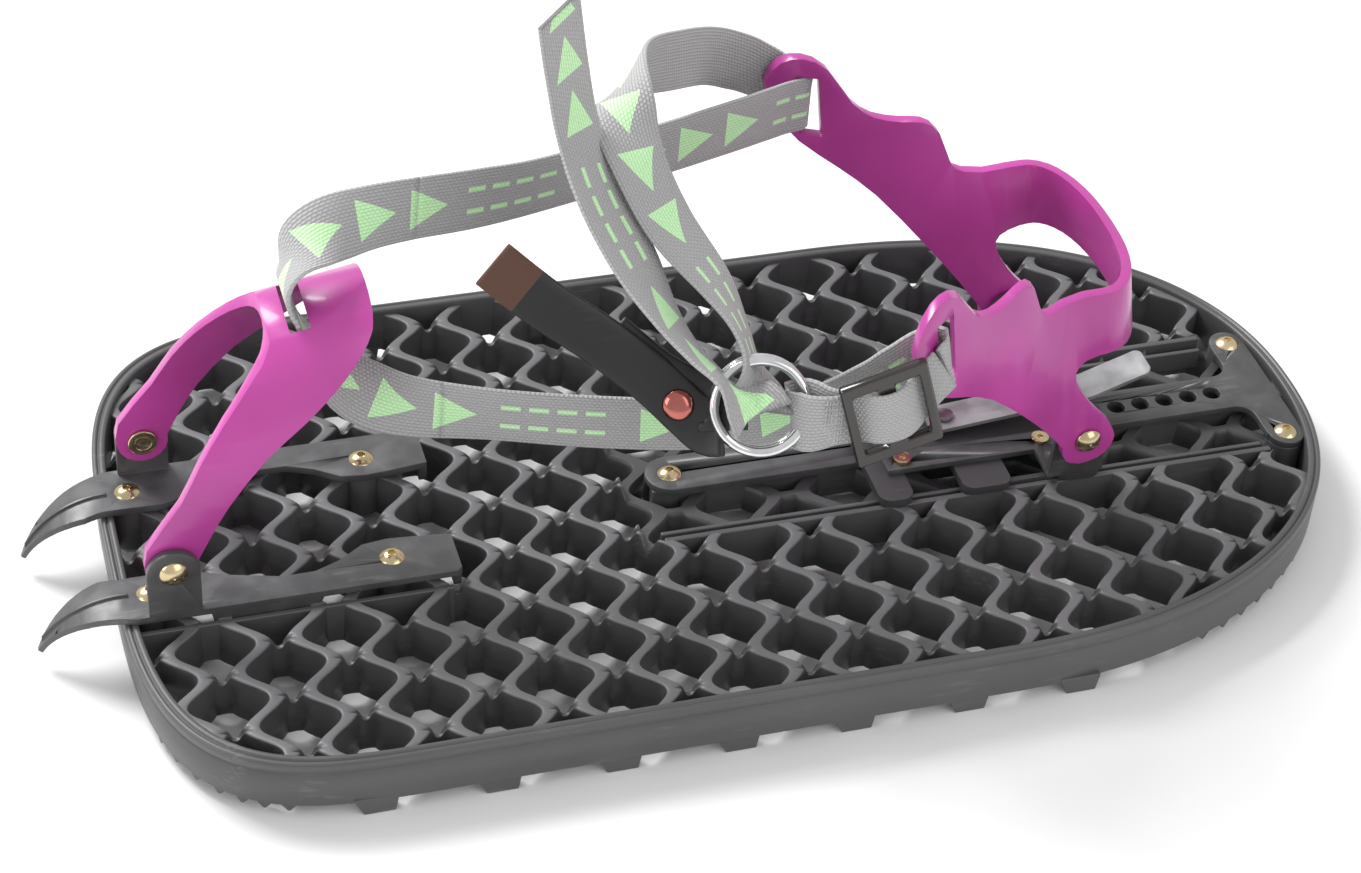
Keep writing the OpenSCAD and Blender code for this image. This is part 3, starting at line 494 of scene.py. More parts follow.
@dataclass(frozen=True)
class Floor(Finish):
    """Plain pale floor with a barely visible mottle."""

    def build(self, fx: Effects) -> bpy.types.Material:
        """Builds the material from the shared effects."""
        material, g, shader, where = self.start(Coordinates.SOLID)
        grain = g.add("Group", node_tree=fx.grain)
        g.put(grain.inputs["Place"], where)
        g.put(grain.inputs["Scale"], 60.0)
        g.put(shader.inputs["Base Color"], g.mix(
            grain.outputs["Tone"], self.tint(self.color, 0.99), self.tint(self.color, 1.01)))
        shader.inputs["Roughness"].default_value = 0.7
        return material


@dataclass(frozen=True)
class Shop:
    """Every finish of the snowshoe, built once."""

    deck: bpy.types.Material
    rib: bpy.types.Material
    dark: bpy.types.Material
    claw: bpy.types.Material
    plate: bpy.types.Material
    steel: bpy.types.Material
    zinc: bpy.types.Material
    magenta: bpy.types.Material
    brass: bpy.types.Material
    copper: bpy.types.Material
    chrome: bpy.types.Material
    glide: bpy.types.Material
    leather: bpy.types.Material
    cut_end: bpy.types.Material
    thread: bpy.types.Material
    web_plain: bpy.types.Material
    web_top: bpy.types.Material
    web_bottom: bpy.types.Material
    floor: bpy.types.Material

    @classmethod
    def open(cls) -> "Shop":
        """Builds the shared effects, then every finish."""
        fx = Effects()
        grey = (0.40, 0.40, 0.40)
        return cls(
            # The rib tops above 19.3 mm get a painted highlight.
            rib=Moulded("Rib plastic", (0.066, 0.066, 0.068), rough=0.42,
                        lit_tops=(19.3, 19.9)).build(fx),
            deck=Moulded("Deck plastic", (0.082, 0.082, 0.084), rough=0.40).build(fx),
            dark=Moulded("Dark plastic", (0.045, 0.045, 0.047), rough=0.36).build(fx),
            claw=Metal("Claw coating", (0.095, 0.095, 0.098), rough=0.42, metallic=0.25,
                       wear=0.35).build(fx),
            plate=Metal("Plate coating", (0.085, 0.085, 0.088), rough=0.4, metallic=0.3,
                        wear=0.3).build(fx),
            zinc=Metal("Zinc lever", (0.40, 0.40, 0.41), rough=0.38, metallic=0.6).build(fx),
            steel=Metal("Satin steel", (0.36, 0.36, 0.37), rough=0.32).build(fx),
            magenta=Moulded("Magenta plastic", (0.47, 0.05, 0.31), rough=0.33, grain=0.008,
                            wear=0.06, coat=0.25).build(fx),
            brass=Metal("Nickel brass", (0.66, 0.54, 0.33), rough=0.22).build(fx),
            copper=Metal("Copper rivet", (0.50, 0.16, 0.14), rough=0.16).build(fx),
            chrome=Metal("Chrome", (0.78, 0.78, 0.80), rough=0.09, lines=0.002,
                         wear=0.05).build(fx),
            glide=Moulded("Glide acetal", (0.018, 0.012, 0.011), rough=0.16, grain=0.004,
                          wear=0.05, coat=0.5).build(fx),
            leather=Moulded("Coated strip", (0.010, 0.009, 0.009), rough=0.38, grain=0.05,
                            scale=700.0, wear=0.12).build(fx),
            cut_end=Moulded("Cut end", (0.09, 0.045, 0.03), rough=0.8, grain=0.08,
                            scale=500.0, wear=0.1).build(fx),
            thread=Moulded("Sewing thread", (0.50, 0.50, 0.50), rough=0.7, grain=0.03,
                           scale=3000.0, wear=0.0).build(fx),
            web_plain=Webbing("Webbing plain", grey).build(fx),
            web_top=Webbing("Webbing printed above", grey, side=PrintSide.TOP).build(fx),
            web_bottom=Webbing("Webbing printed below", grey, side=PrintSide.BOTTOM,
                               offset=-4.0).build(fx),
            floor=Floor("Pale floor", (0.86, 0.86, 0.86)).build(fx))


def dress(piece: bpy.types.Object, *materials: bpy.types.Material) -> bpy.types.Object:
    """Gives a piece its materials, in slot order."""
    piece.data.materials.clear()
    for material in materials:
        piece.data.materials.append(material)
    return piece


def report(piece: bpy.types.Object, body: str) -> None:
    """Logs a finished piece and the body that carries it."""
    LOG.info("%s on %s: %d points", piece.name, body, len(piece.data.vertices))


def mount(piece: bpy.types.Object, body: str) -> bpy.types.Object:
    """Puts a piece on a body and logs it."""
    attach(piece, body)
    report(piece, body)
    return piece


# ---------------------------------------------------------------------- deck


@dataclass
class Deck:
    """Honeycomb deck: web of wavy ribs, rim, cleats, teeth and rails."""

    shop: Shop
    length: float = 400.0
    width: float = 210.0
    base_z: float = 5.0
    rim_z: float = 22.0
    rib_z: float = 20.0
    channel_z: float = 15.0
    plate_z: float = 18.0
    rim_w: float = 4.2
    cell_len: float = 19.15
    cell_w: float = 23.4
    rib_w: float = 3.3
    cross_w: float = 2.2
    wave: float = 4.0
    toe_reach: float = 85.0
    toe_n: float = 3.5
    heel_reach: float = 142.0
    heel_n: float = 2.24

    def end(self, heel: bool) -> tuple[float, float, float]:
        """Centre, reach and power of one end's curve."""
        if heel:
            return self.length / 2 - self.heel_reach, self.heel_reach, self.heel_n
        return self.toe_reach - self.length / 2, self.toe_reach, self.toe_n

    def outline(self, margin: float, step: float = 2.5) -> np.ndarray:
        """Outline moved in by a margin, as evenly spaced points.

        Args:
            margin: Distance in from the outer wall, in millimetres.
            step: Spacing of the points on the outer wall.

        Returns:
            Points in order, heel end first.
        """
        places = []
        for heel, first in ((True, -90), (False, 90)):
            x0, reach, n = self.end(heel)
            for i in range(1441):
                a = math.radians(first + 180 * i / 1440)
                places.append((x0, reach, n, math.cos(a), math.sin(a)))
        outer = np.array([[x0 + power(c, n) * r, power(s, n) * self.width / 2]
                          for x0, r, n, c, s in places])
        inner = np.array([[x0 + power(c, n) * (r - margin), power(s, n) * (self.width / 2 - margin)]
                          for x0, r, n, c, s in places])
        gaps = np.linalg.norm(np.diff(np.vstack([outer, outer[:1]]), axis=0), axis=1)
        along = np.concatenate([[0], np.cumsum(gaps)])
        count = int(along[-1] / step)
        at = np.linspace(0, along[-1], count, endpoint=False)
        closed = np.vstack([inner, inner[:1]])
        return np.column_stack([np.interp(at, along, closed[:, k]) for k in (0, 1)])

    def pull_in(self, p: np.ndarray, margin: float) -> tuple[np.ndarray, bool]:
        """Moves a point that lies outside the outline onto it.

        Args:
            p: Point as x, y.
            margin: How far in the outline is moved.

        Returns:
            The point, and whether it was moved.
        """
        half = self.width / 2 - margin
        heel = p[0] > 0
        x0, reach, n = self.end(heel)
        d = (p[0] - x0) if heel else (x0 - p[0])
        if d <= 0:
            moved = abs(p[1]) > half
            return np.array([p[0], math.copysign(min(abs(p[1]), half), p[1])]), moved
        f = (d / (reach - margin)) ** n + (abs(p[1]) / half) ** n
        if f <= 1:
            return p, False
        k = f ** (-1 / n)
        return np.array([x0 + (d * k if heel else -d * k), p[1] * k]), True

    def cell_rings(self) -> list[np.ndarray]:
        """One cell's rings from the rib's ridge down its wall and along its foot.

        Returns:
            Rings of points about the cell's centre, all with the same count.
        """
        turns = np.linspace(-180, 180, 17)
        cross = np.linspace(1, -1, 7)[1:-1]
        reach = self.cell_len / 2
        open_w = self.cell_w - self.cross_w
        ridge, lip = [], []
        for sign in (1, -1):
            for v in turns:
                wave = reach + self.wave * math.cos(math.radians(v))
                ridge.append([sign * wave, sign * v / 360 * self.cell_w, self.rib_z])
                corner = 1.5 * (abs(v) / 180) ** 5
                lip.append([sign * (wave - self.rib_w / 2 - corner),
                            sign * v / 360 * open_w, self.rib_z])
            span = reach - self.wave
            dip_r = span - self.rib_w / 2 + 0.3
            for s in cross:
                dip = math.sqrt(max(0.0, dip_r ** 2 - (s * span) ** 2)) - 1
                z = self.rib_z - 1.15 * max(0.0, dip)
                ridge.append([sign * s * span, sign * self.cell_w / 2, z])
                lip.append([sign * s * (span - self.rib_w / 2 - 1.5),
                            sign * (open_w / 2 + 0.25 * (1 - s * s)), z])
        ridge, lip = np.array(ridge), np.array(lip)
        rings = []
        for share, drop in ((0, 0), (0.62, 0.02), (0.8, 0.1), (0.93, 0.38), (1, 0.95)):
            ring = ridge + (lip - ridge) * [share, share, 0]
            ring[:, 2] = ridge[:, 2] + (lip[:, 2] - ridge[:, 2]) * share - drop
            rings.append(ring)
        for depth in (0.5, 1.0):
            ring = lip.copy()
            ring[:, :2] *= 1 - 0.05 * depth
            ring[:, 2] = lip[:, 2] - 0.95 + (self.base_z - lip[:, 2] + 0.95) * depth
            rings.append(ring)
        foot = ridge.copy()
        foot[:, 2] = self.base_z
        rings.append(foot)
        return rings

    def web(self) -> bpy.types.Object:
        """Web of wavy ribs and dipped cross ribs, open at every cell."""
        rings = self.cell_rings()
        n = len(rings[0])
        verts: list[np.ndarray] = []
        faces: list[tuple[int, ...]] = []
        margin = self.rim_w - 0.7
        channel = (-36.0, 194.0, 29.5)
        seat = (173.0, 198.0, 31.0)
        for k in range(-12, 13):
            for m in range(-6, 7):
                centre = np.array([7.3 + self.cell_len * (k - 0.5),
                                   self.cell_w * (m + (0.5 if k % 2 == 0 else 0))])
                base = len(verts)
                moved = []
                for ring in rings:
                    for p in ring:
                        q, out = self.pull_in(centre + p[:2], margin)
                        z = p[2]
                        if channel[0] < q[0] < channel[1] and abs(q[1]) < channel[2]:
                            z = min(z, self.channel_z)
                        if seat[0] < q[0] < seat[1] and abs(q[1]) < seat[2]:
                            z = min(z, self.plate_z)
                        verts.append(np.array([q[0], q[1], z]))
                        moved.append(out)
                for r in range(len(rings) - 1):
                    for i in range(n):
                        j = (i + 1) % n
                        ids = (r * n + i, r * n + j, (r + 1) * n + j, (r + 1) * n + i)
                        if not all(moved[q] for q in ids):
                            faces.append(tuple(base + q for q in ids))
        piece = make_piece("deck_web", verts, faces, weld=0.02)
        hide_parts("deck")
        return dress(piece, self.shop.rib)

    def rim(self) -> bpy.types.Object:
        """Rim wall with rounded shoulders, a groove on top and a lip outside."""
        profile = [(0.25, self.base_z), (0.0, self.base_z + 0.5), (0.0, self.rim_z - 4.4),
                   (0.35, self.rim_z - 4.1), (0.35, self.rim_z - 3.6), (0.0, self.rim_z - 3.3),
                   (0.0, self.rim_z - 1.1), (0.12, self.rim_z - 0.55), (0.45, self.rim_z - 0.15),
                   (0.9, self.rim_z), (1.45, self.rim_z), (1.6, self.rim_z - 0.6),
                   (2.1, self.rim_z - 0.6), (2.25, self.rim_z), (3.3, self.rim_z),
                   (3.8, self.rim_z - 0.15), (4.1, self.rim_z - 0.55), (4.2, self.rim_z - 1.2),
                   (4.2, self.base_z + 0.4), (3.9, self.base_z)]
        loops = [np.column_stack([self.outline(m), np.full(len(self.outline(m)), z)])
                 for m, z in profile]
        n, rows = len(loops[0]), len(loops)
        faces = [(r * n + i, r * n + (i + 1) % n, ((r + 1) % rows) * n + (i + 1) % n,
                  ((r + 1) % rows) * n + i) for r in range(rows) for i in range(n)]
        piece = make_piece("deck_rim", np.vstack(loops), faces, weld=0.001)
        return dress(piece, self.shop.deck)

    def prisms(self, name: str, parts: Sequence[tuple[np.ndarray, np.ndarray]],
               width: float) -> bpy.types.Object:
        """Several extruded outlines in one softened piece.

        Args:
            name: The piece's name.
            parts: For each prism its two end outlines, with matching points.
            width: Width of the softened edges in millimetres.

        Returns:
            The piece.
        """
        verts: list[np.ndarray] = []
        faces: list[tuple[int, ...]] = []
        for a, b in parts:
            base, n = len(verts), len(a)
            verts += [*a, *b]
            faces += [tuple(base + n - 1 - i for i in range(n)),
                      tuple(base + n + i for i in range(n))]
            faces += [(base + i, base + (i + 1) % n, base + n + (i + 1) % n, base + n + i)
                      for i in range(n)]
        piece = make_piece(name, verts, faces, weld=0.001)
        soften(piece, width)
        return dress(piece, self.shop.deck)

    def cleats(self) -> bpy.types.Object:
        """Wedge cleats along both straight sides."""
        parts = []
        for sign in (-1, 1):
            for i in range(7):
                x = -145 + 36.8 * i
                shape = [(x + 0.3, self.base_z + 1.5), (x + 3.4, 0.0), (x + 13, 0.0),
                         (x + 14, self.base_z + 1.5)]
                ends = [np.array([[px, sign * y, z] for px, z in shape])
                        for y in (self.width / 2 - 4.4, self.width / 2 - 0.15)]
                parts.append((ends[0], ends[1]))
        return self.prisms("deck_cleats", parts, 0.45)

    def teeth(self) -> bpy.types.Object:
        """Saw teeth round the toe and heel corners."""
        turns = [(False, a) for a in (112, 118, 124, 131, 139, 147, 154)]
        turns += [(False, 360 - a) for a in (112, 118, 124, 131, 139, 147, 154)]
        turns += [(True, s * (20 + i * 4.2)) for s in (-1, 1) for i in range(11)]
        parts = []
        for heel, a in turns:
            x0, reach, n = self.end(heel)
            p, q = (np.array([x0 + power(math.cos(math.radians(t)), n) * (reach - 2.2),
                              power(math.sin(math.radians(t)), n) * (self.width / 2 - 2.2)])
                    for t in (a, a + 1))
            d = unit(q - p)
            side = np.array([-d[1], d[0]]) * 1.8
            shape = [(-3.6, self.base_z + 1.2), (-0.4, self.base_z - 2.8),
                     (0.4, self.base_z - 2.8), (3.6, self.base_z + 1.2)]
            ends = [np.array([[*(p + d * u + side * s), z] for u, z in shape]) for s in (-1, 1)]
            parts.append((ends[0], ends[1]))
        return self.prisms("deck_teeth", parts, 0.3)

    def box(self, x0: float, x1: float, y0: float, y1: float, z0: float,
            z1: float) -> tuple[np.ndarray, np.ndarray]:
        """End outlines of a straight bar of the deck."""
        ring = [(x0, y0), (x1, y0), (x1, y1), (x0, y1)]
        return (np.array([[x, y, z0] for x, y in ring]), np.array([[x, y, z1] for x, y in ring]))

    def post(self, x: float, y: float, r: float, z0: float,
             z1: float) -> tuple[np.ndarray, np.ndarray]:
        """End outlines of a round boss."""
        ring = [(x + r * math.cos(a), y + r * math.sin(a))
                for a in np.linspace(0, 2 * math.pi, 36, endpoint=False)]
        return (np.array([[*p, z0] for p in ring]), np.array([[*p, z1] for p in ring]))

    def rails(self) -> bpy.types.Object:
        """Bosses under the screws, and the walls and rails beside the slider."""
        low = self.base_z
        parts = [self.post(-20, 0, 6, low, self.plate_z)]
        for s in (-1, 1):
            for x in (-190.5, -116):
                parts.append(self.post(x, s * 23.7, 6, low, self.rim_z + 0.15))
            parts.append(self.post(187.5, s * 24, 6.2, low, self.plate_z))
            parts.append(self.box(-27, 198, *sorted((s * 3.7, s * 5.4)), low, self.plate_z))
            parts.append(self.box(-197, -99, *sorted((s * 35, s * 36.8)), low, self.rib_z))
            parts.append(self.box(-30, 179, *sorted((s * 29, s * 31)), low, self.rib_z))
            parts.append(self.box(-30, 178, *sorted((s * 24.6, s * 26.2)), low + 6, self.rib_z
                                  - 1.5))
        return self.prisms("deck_rails", parts, 0.5)

    def build(self) -> None:
        """Builds every piece of the deck."""
        for piece in (self.web(), self.rim(), self.cleats(), self.teeth(), self.rails()):
            mount(piece, "deck")


# ----------------------------------------------------------------- CAD pieces


@dataclass(frozen=True)
class Kept:
    """A CAD node that stays, with its rounding in millimetres."""

    node: str
    body: str
    material: str
    round: float = 0.25
    angle: float = 32.0


@dataclass
class Hardware:
    """Metal and hard plastic pieces whose shape comes from the frame."""

    shop: Shop
    kept: tuple[Kept, ...] = (
        Kept("claw_bar_left", "deck", "claw", 0.45), Kept("claw_bar_right", "deck", "claw", 0.45),
        Kept("claw_screws", "deck", "brass", 0.15, 40), Kept("claw_nuts", "deck", "steel", 0.3),
        Kept("toe_loop", "toe_loop", "magenta", 1.3), Kept("toe_rivets", "deck", "brass", 0.2, 40),
        Kept("toe_eyelets", "deck", "brass", 0.35), Kept("rail_plate", "deck", "plate", 0.3),
        Kept("rail_screws", "deck", "brass", 0.15, 40), Kept("rail_nuts", "deck", "steel", 0.3),
        Kept("heel_carriage", "carriage", "dark", 0.4), Kept("heel_bracket", "carriage", "plate",
                                                             0.3),
        Kept("bracket_screws", "carriage", "brass", 0.12, 40),
        Kept("size_lever", "size_lever", "zinc", 0.25),
        Kept("lever_rivet", "carriage", "steel", 0.2), Kept("lock_pin", "size_lever", "steel", 0.2),
        Kept("heel_cup", "heel_cup", "magenta", 0.8),
        Kept("heel_rivets", "carriage", "brass", 0.2, 40),
        Kept("heel_washers", "carriage", "dark", 0.3),
        Kept("ring_front", "buckle", "chrome", 0.0), Kept("ring_back", "buckle", "chrome", 0.0),
        Kept("triglide", "triglide", "glide", 0.9))

    def build(self) -> None:
        """Softens and dresses each kept node."""
        for item in self.kept:
            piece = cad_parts[item.node]
            if item.round:
                soften(piece, item.round, 3, item.angle, weld=True)
            dress(piece, getattr(self.shop, item.material))
            report(piece, item.body)


# --------------------------------------------------------------------- straps


@dataclass
class Band:
    """A flat band of webbing along a route, with soft edges."""

    name: str
    route: Route
    width: float = 20.0
    thick: float = 1.5
    step: float = 2.0
    start_u: float = 0.0

    def frames(self) -> tuple[np.ndarray, np.ndarray, np.ndarray, np.ndarray]:
        """Samples the route.

        Returns:
            Places, across vectors, face normals and lengths along the band.
        """
        points = np.array([p for p, _ in self.route], float)
        across = np.array([unit(np.array(a, float)) for _, a in self.route])
        fine = np.linspace(0, len(points) - 1, 40 * len(points))
        dense = np.array([spline(points, t) for t in fine])
        run = np.concatenate([[0], np.cumsum(np.linalg.norm(np.diff(dense, axis=0), axis=1))])
        count = max(4, int(run[-1] / self.step))
        at = np.interp(np.linspace(0, run[-1], count + 1), run, fine)
        place = np.array([spline(points, t) for t in at])
        tangent = np.gradient(place, axis=0)
        side, up = [], []
        for t, d in zip(at, tangent):
            d = unit(d)
            s = spline(across, t)
            s = unit(s - d * (s @ d))
            side.append(s)
            up.append(unit(np.cross(d, s)))
        return place, np.array(side), np.array(up), np.linspace(0, run[-1], count + 1)

    def section(self) -> list[tuple[float, float, float]]:
        """Points round the band: across, up, and the V coordinate in millimetres."""
        w, t = self.width / 2, self.thick / 2
        r = t * 0.95
        top = [(w - r, t), (w * 0.5, t), (0.0, t), (-w * 0.5, t), (-w + r, t)]
        turn = [(-w + r * 0.3, t * 0.72), (-w, 0.0), (-w + r * 0.3, -t * 0.72)]
        ring = top + turn + [(-x, -y) for x, y in top] + [(-x, -y) for x, y in turn]
        return [(x, y, x + (0.0 if y > 0 else UNDER)) for x, y in ring]

    def build(self) -> bpy.types.Object:
        """Makes the band's mesh with closed ends and a map in metres."""
        place, side, up, run = self.frames()
        ring = self.section()
        n = len(ring)
        verts = [p + s * x + u * y for p, s, u in zip(place, side, up) for x, y, _ in ring]
        faces, uvs = [], []
        for i in range(len(place) - 1):
            for j in range(n):
                k = (j + 1) % n
                faces.append((i * n + j, (i + 1) * n + j, (i + 1) * n + k, i * n + k))
                v0, v1 = ring[j][2], ring[k][2]
                if abs(v0 - v1) > UNDER / 2:
                    v0 = v1 = max(v0, v1)
                u0, u1 = run[i] + self.start_u, run[i + 1] + self.start_u
                uvs += [(u0 * MM, v0 * MM), (u1 * MM, v0 * MM), (u1 * MM, v1 * MM),
                        (u0 * MM, v1 * MM)]
        last = (len(place) - 1) * n
        for ids in (tuple(range(n)), tuple(last + n - 1 - j for j in range(n))):
            faces.append(ids)
            uvs += [(0.0, ring[j % n][2] * MM) for j in range(n)]
        return make_piece(self.name, verts, faces, uvs)


ACROSS = (0.0, 1.0, 0.0)
UPRIGHT = (0.0, 0.0, 1.0)


@dataclass
class Straps:
    """The webbing: through the crown's slot, both ears, the tri-glide and the rings."""

    shop: Shop
    width: float = 20.0
    thick: float = 1.5

    def run(self, name: str, route: Route, material: bpy.types.Material, start_u: float = 0.0,
            width: float | None = None) -> bpy.types.Object:
        """Makes and dresses one run of webbing."""
        band = Band(name, route, width or self.width, self.thick, start_u=start_u)
        return dress(band.build(), material)

    def joined(self, piece: bpy.types.Object, a: str, b: str) -> None:
        """Bakes a run's placement into its points and logs it as lying between two bodies."""
        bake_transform(piece)
        report(piece, a + " to " + b)

    def build(self) -> None:
        """Builds every run and its stitching."""
        top, plain, below = self.shop.web_top, self.shop.web_plain, self.shop.web_bottom
        cuts = (-100, -20)
        upper = [((-140.6, 0, 108.0), ACROSS), ((-142.6, 0, 113.5), ACROSS),
                 ((-141.6, 0.6, 119.5), (0.1, 1, 0)), ((-137, 3, 125.5), (0, 0.9, 0.3)),
                 ((-129, 6.5, 128.6), (-0.2, 0.7, 0.6)), ((-117, 10, 128.8), (-0.2, 0.3, 0.9)),
                 ((-102, 15, 126.6), (-0.15, 0.15, 1)), ((-80, 22, 122.4), (-0.1, 0.1, 1)),
                 ((-58, 29, 119.5), UPRIGHT), ((-20, 42, 117), UPRIGHT),
                 ((10, 52, 116), UPRIGHT), ((24, 57.5, 115.2), UPRIGHT),
                 ((31, 61.0, 114.2), UPRIGHT), ((35.8, 62.8, 113.6), UPRIGHT),
                 ((39.2, 64.0, 113.3), UPRIGHT), ((40.6, 66.9, 113.3), UPRIGHT),
                 ((38.6, 70.2, 114.3), UPRIGHT)]
        lower = [((-140.6, 0, 108.0), ACROSS), ((-138, -2, 100), ACROSS),
                 ((-133, -4, 92), (0.2, 1, 0)), ((-126, -8, 83), (0.4, 0.8, 0.5)),
                 ((-112, -14, 77), (0.2, 0.3, 0.9)), ((-88, -22, 75.5), UPRIGHT),
                 ((-54, -33, 75), UPRIGHT), ((-24, -42, 76.5), UPRIGHT),
                 ((8, -51, 83), (-0.1, 0, 1)), ((24, -57.5, 96), (-0.4, 0, 1)),
                 ((31, -61.2, 104.5), (-0.35, 0, 1)), ((35.6, -62.8, 109.3), (-0.2, 0, 1)),
                 ((39.2, -64.0, 111), (-0.15, 0, 1)), ((40.6, -67.0, 110.9), (-0.2, 0, 1)),
                 ((38.4, -70.2, 109.2), (-0.25, 0, 1))]
        self.split("upper", upper, top, cuts, (28, 40), "strap_upper")
        self.split("lower", lower, top, cuts, (18, 36), "strap_lower")
        cross = [((38.6, 70.2, 114.3), UPRIGHT), ((33.5, 73.0, 116.4), UPRIGHT),
                 ((27, 75.6, 119.6), UPRIGHT), ((19, 75.6, 124), (0.1, 0, 1)),
                 ((7, 69, 132), (0.1, 0, 1)), ((-10, 50, 145), (0.2, 0.2, 1)),
                 ((-30, 28, 158), (0.5, 0.3, 0.8)), ((-41, 6, 164), (0.85, 0.35, 0.4)),
                 ((-41, -10, 156), (0.8, 0.55, 0.1)), ((-34, -24, 140), (0.75, 0.65, 0)),
                 ((-23, -37, 126), (0.6, 0.75, -0.2)), ((-17.5, -47, 116), (0.45, 0.72, -0.5)),
                 ((-15.5, -54.5, 108), (0.45, 0.72, -0.5)), ((-15, -61, 102), (0.8, 0.4, -0.1)),
                 ((-16.5, -65.8, 99.8), (1, 0.1, 0.1))]
        piece = self.run("strap_crossover_run", cross, top, 12.0)
        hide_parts("strap_crossover")
        self.joined(piece, "heel_cup", "buckle")
        tail = [((-16.5, -66.8, 99.8), (1, 0, 0.1)), ((-19.5, -68, 103), (0.8, 0.4, 0.1)),
                ((-26, -62, 108.5), (0.3, 0.85, -0.4)), ((-33, -54.5, 114), (0.25, 0.9, -0.3)),
                ((-40, -46, 123), (0.45, 0.85, -0.2)), ((-47, -35, 136), (0.75, 0.65, -0.1)),
                ((-54, -22, 150), (0.75, 0.65, -0.1)), ((-58, -10, 165), (0.75, 0.65, -0.1)),
                ((-61, -6, 184), (0.75, 0.65, -0.1)), ((-64, -6, 204), (0.75, 0.65, -0.1))]
        piece = self.run("strap_tail_run", tail, below, 24.0)
        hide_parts("strap_tail")
        self.joined(piece, "buckle", "heel_cup")
        self.ring_end(plain)

    def split(self, name: str, route: Route, material: bpy.types.Material,
              cuts: tuple[float, float], heel: tuple[float, float], node: str) -> None:
        """Makes a long run in three pieces that meet on the deck and on the slider.

        Args:
            name: First part of the pieces' names.
            route: The whole run's route, from the crown's slot to the ear.
            material: The run's finish.
            cuts: X of the two places where the run is cut.
            heel: Not used.
            node: The CAD node that the pieces stand for.
        """
        band = Band(name, route, self.width, self.thick)
        place, side, up, run = band.frames()
        first = int(np.argmax(place[:, 0] > cuts[0]))
        second = int(np.argmax(place[:, 0] > cuts[1]))
        spans = ((0, first, "toe", "toe_loop", "deck", -138.0, cuts[0] - 2),
                 (first, second, "mid", "deck", "carriage", cuts[0] + 4, cuts[1] - 4),
                 (second, len(place) - 1, "heel", "carriage", "heel_cup", cuts[1] + 2, heel[0]))
        for a, b, part, low, high, x0, x1 in spans:
            cut = [(place[i], side[i]) for i in range(a, b + 1)]
            piece = self.run(f"strap_{name}_{part}", cut, material, float(run[a]))
            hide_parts(node)
            self.joined(piece, low, high)

    def ring_end(self, material: bpy.types.Material) -> None:
        """Short end through the tri-glide, folded round the rings and stitched."""
        route = [((38.4, -70.2, 109.2), (-0.25, 0, 1)), ((35, -71.6, 107), (-0.3, 0, 1)),
                 ((32, -73.3, 105.2), (-0.28, 0, 1)), ((29.2, -75.2, 104), (-0.28, 0, 1)),
                 ((26, -77.8, 102.8), (-0.28, 0, 1)), ((22.8, -79.2, 101.9), (-0.25, 0, 1)),
                 ((18.2, -79.2, 100.9), (-0.2, 0, 1)), ((15, -77.6, 100.2), (-0.15, 0, 1)),
                 ((12.2, -75.3, 99.6), (-0.1, 0, 1)), ((8.8, -74.4, 99.0), UPRIGHT),
                 ((4.5, -74.0, 98.6), UPRIGHT), ((0.5, -73.6, 98.2), (0, 0.1, 1)),
                 ((-3.4, -72.4, 97.7), (0, 0.25, 1)), ((-6.2, -68.5, 96.8), (0, 0.45, 1)),
                 ((-4.6, -64.8, 97.2), (0, 0.45, 1)), ((-0.4, -66.6, 98.4), (0, 0.3, 1)),
                 ((3.4, -70.8, 98.9), (0, 0.1, 1)), ((7, -72.5, 99.2), UPRIGHT),
                 ((11, -72.7, 99.6), UPRIGHT)]
        piece = self.run("strap_ring_fold", route, material, width=18.5)
        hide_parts("strap_ring_end")
        self.joined(piece, "heel_cup", "buckle")
        self.stitches()

    def stitches(self) -> None:
        """Two boxes of stitching that hold the fold."""
        verts: list[np.ndarray] = []
        faces: list[tuple[int, ...]] = []
        for x0 in (1.2, 4.4):
            for row in range(3):
                x = x0 + row * 0.85
                for k in range(9):
                    z = 98.4 + (k - 4) * 1.85
                    tip = np.array([x, -74.85 - 0.09 * (x - 4), z])
                    self.thread(verts, faces, tip, np.array([0.25, 0, 0.78]))
        piece = make_piece("ring_fold_stitches", verts, faces)
        dress(piece, self.shop.thread)
        mount(piece, "heel_cup")

    @staticmethod
    def thread(verts: list[np.ndarray], faces: list[tuple[int, ...]], at: np.ndarray,
               half: np.ndarray, r: float = 0.22) -> None:
        """Adds one domed stitch of thread.

        Args:
            verts: Points that the stitch's own are added to.
            faces: Faces that the stitch's own are added to.
            at: Middle of the stitch.
            half: Half of the stitch as a vector.
            r: Radius of the thread.
        """
        base = len(verts)
        d = unit(half)
        a = unit(np.cross(d, [0, 1, 0]))
        b = np.cross(d, a)
        for share, size in ((-1, 0.25), (-0.75, 0.85), (0, 1.0), (0.75, 0.85), (1, 0.25)):
            for q in range(6):
                t = q * math.pi / 3
                verts.append(at + half * share + (a * math.cos(t) + b * math.sin(t)) * r * size
                             + np.array([0, 0.12 * share * share, 0]))
        for i in range(4):
            for q in range(6):
                w = (q + 1) % 6
                faces.append((base + i * 6 + q, base + i * 6 + w, base + (i + 1) * 6 + w,
                              base + (i + 1) * 6 + q))
        faces.append(tuple(base + 5 - q for q in range(6)))
        faces.append(tuple(base + 24 + q for q in range(6)))


# ------------------------------------------------------------------- pull tab


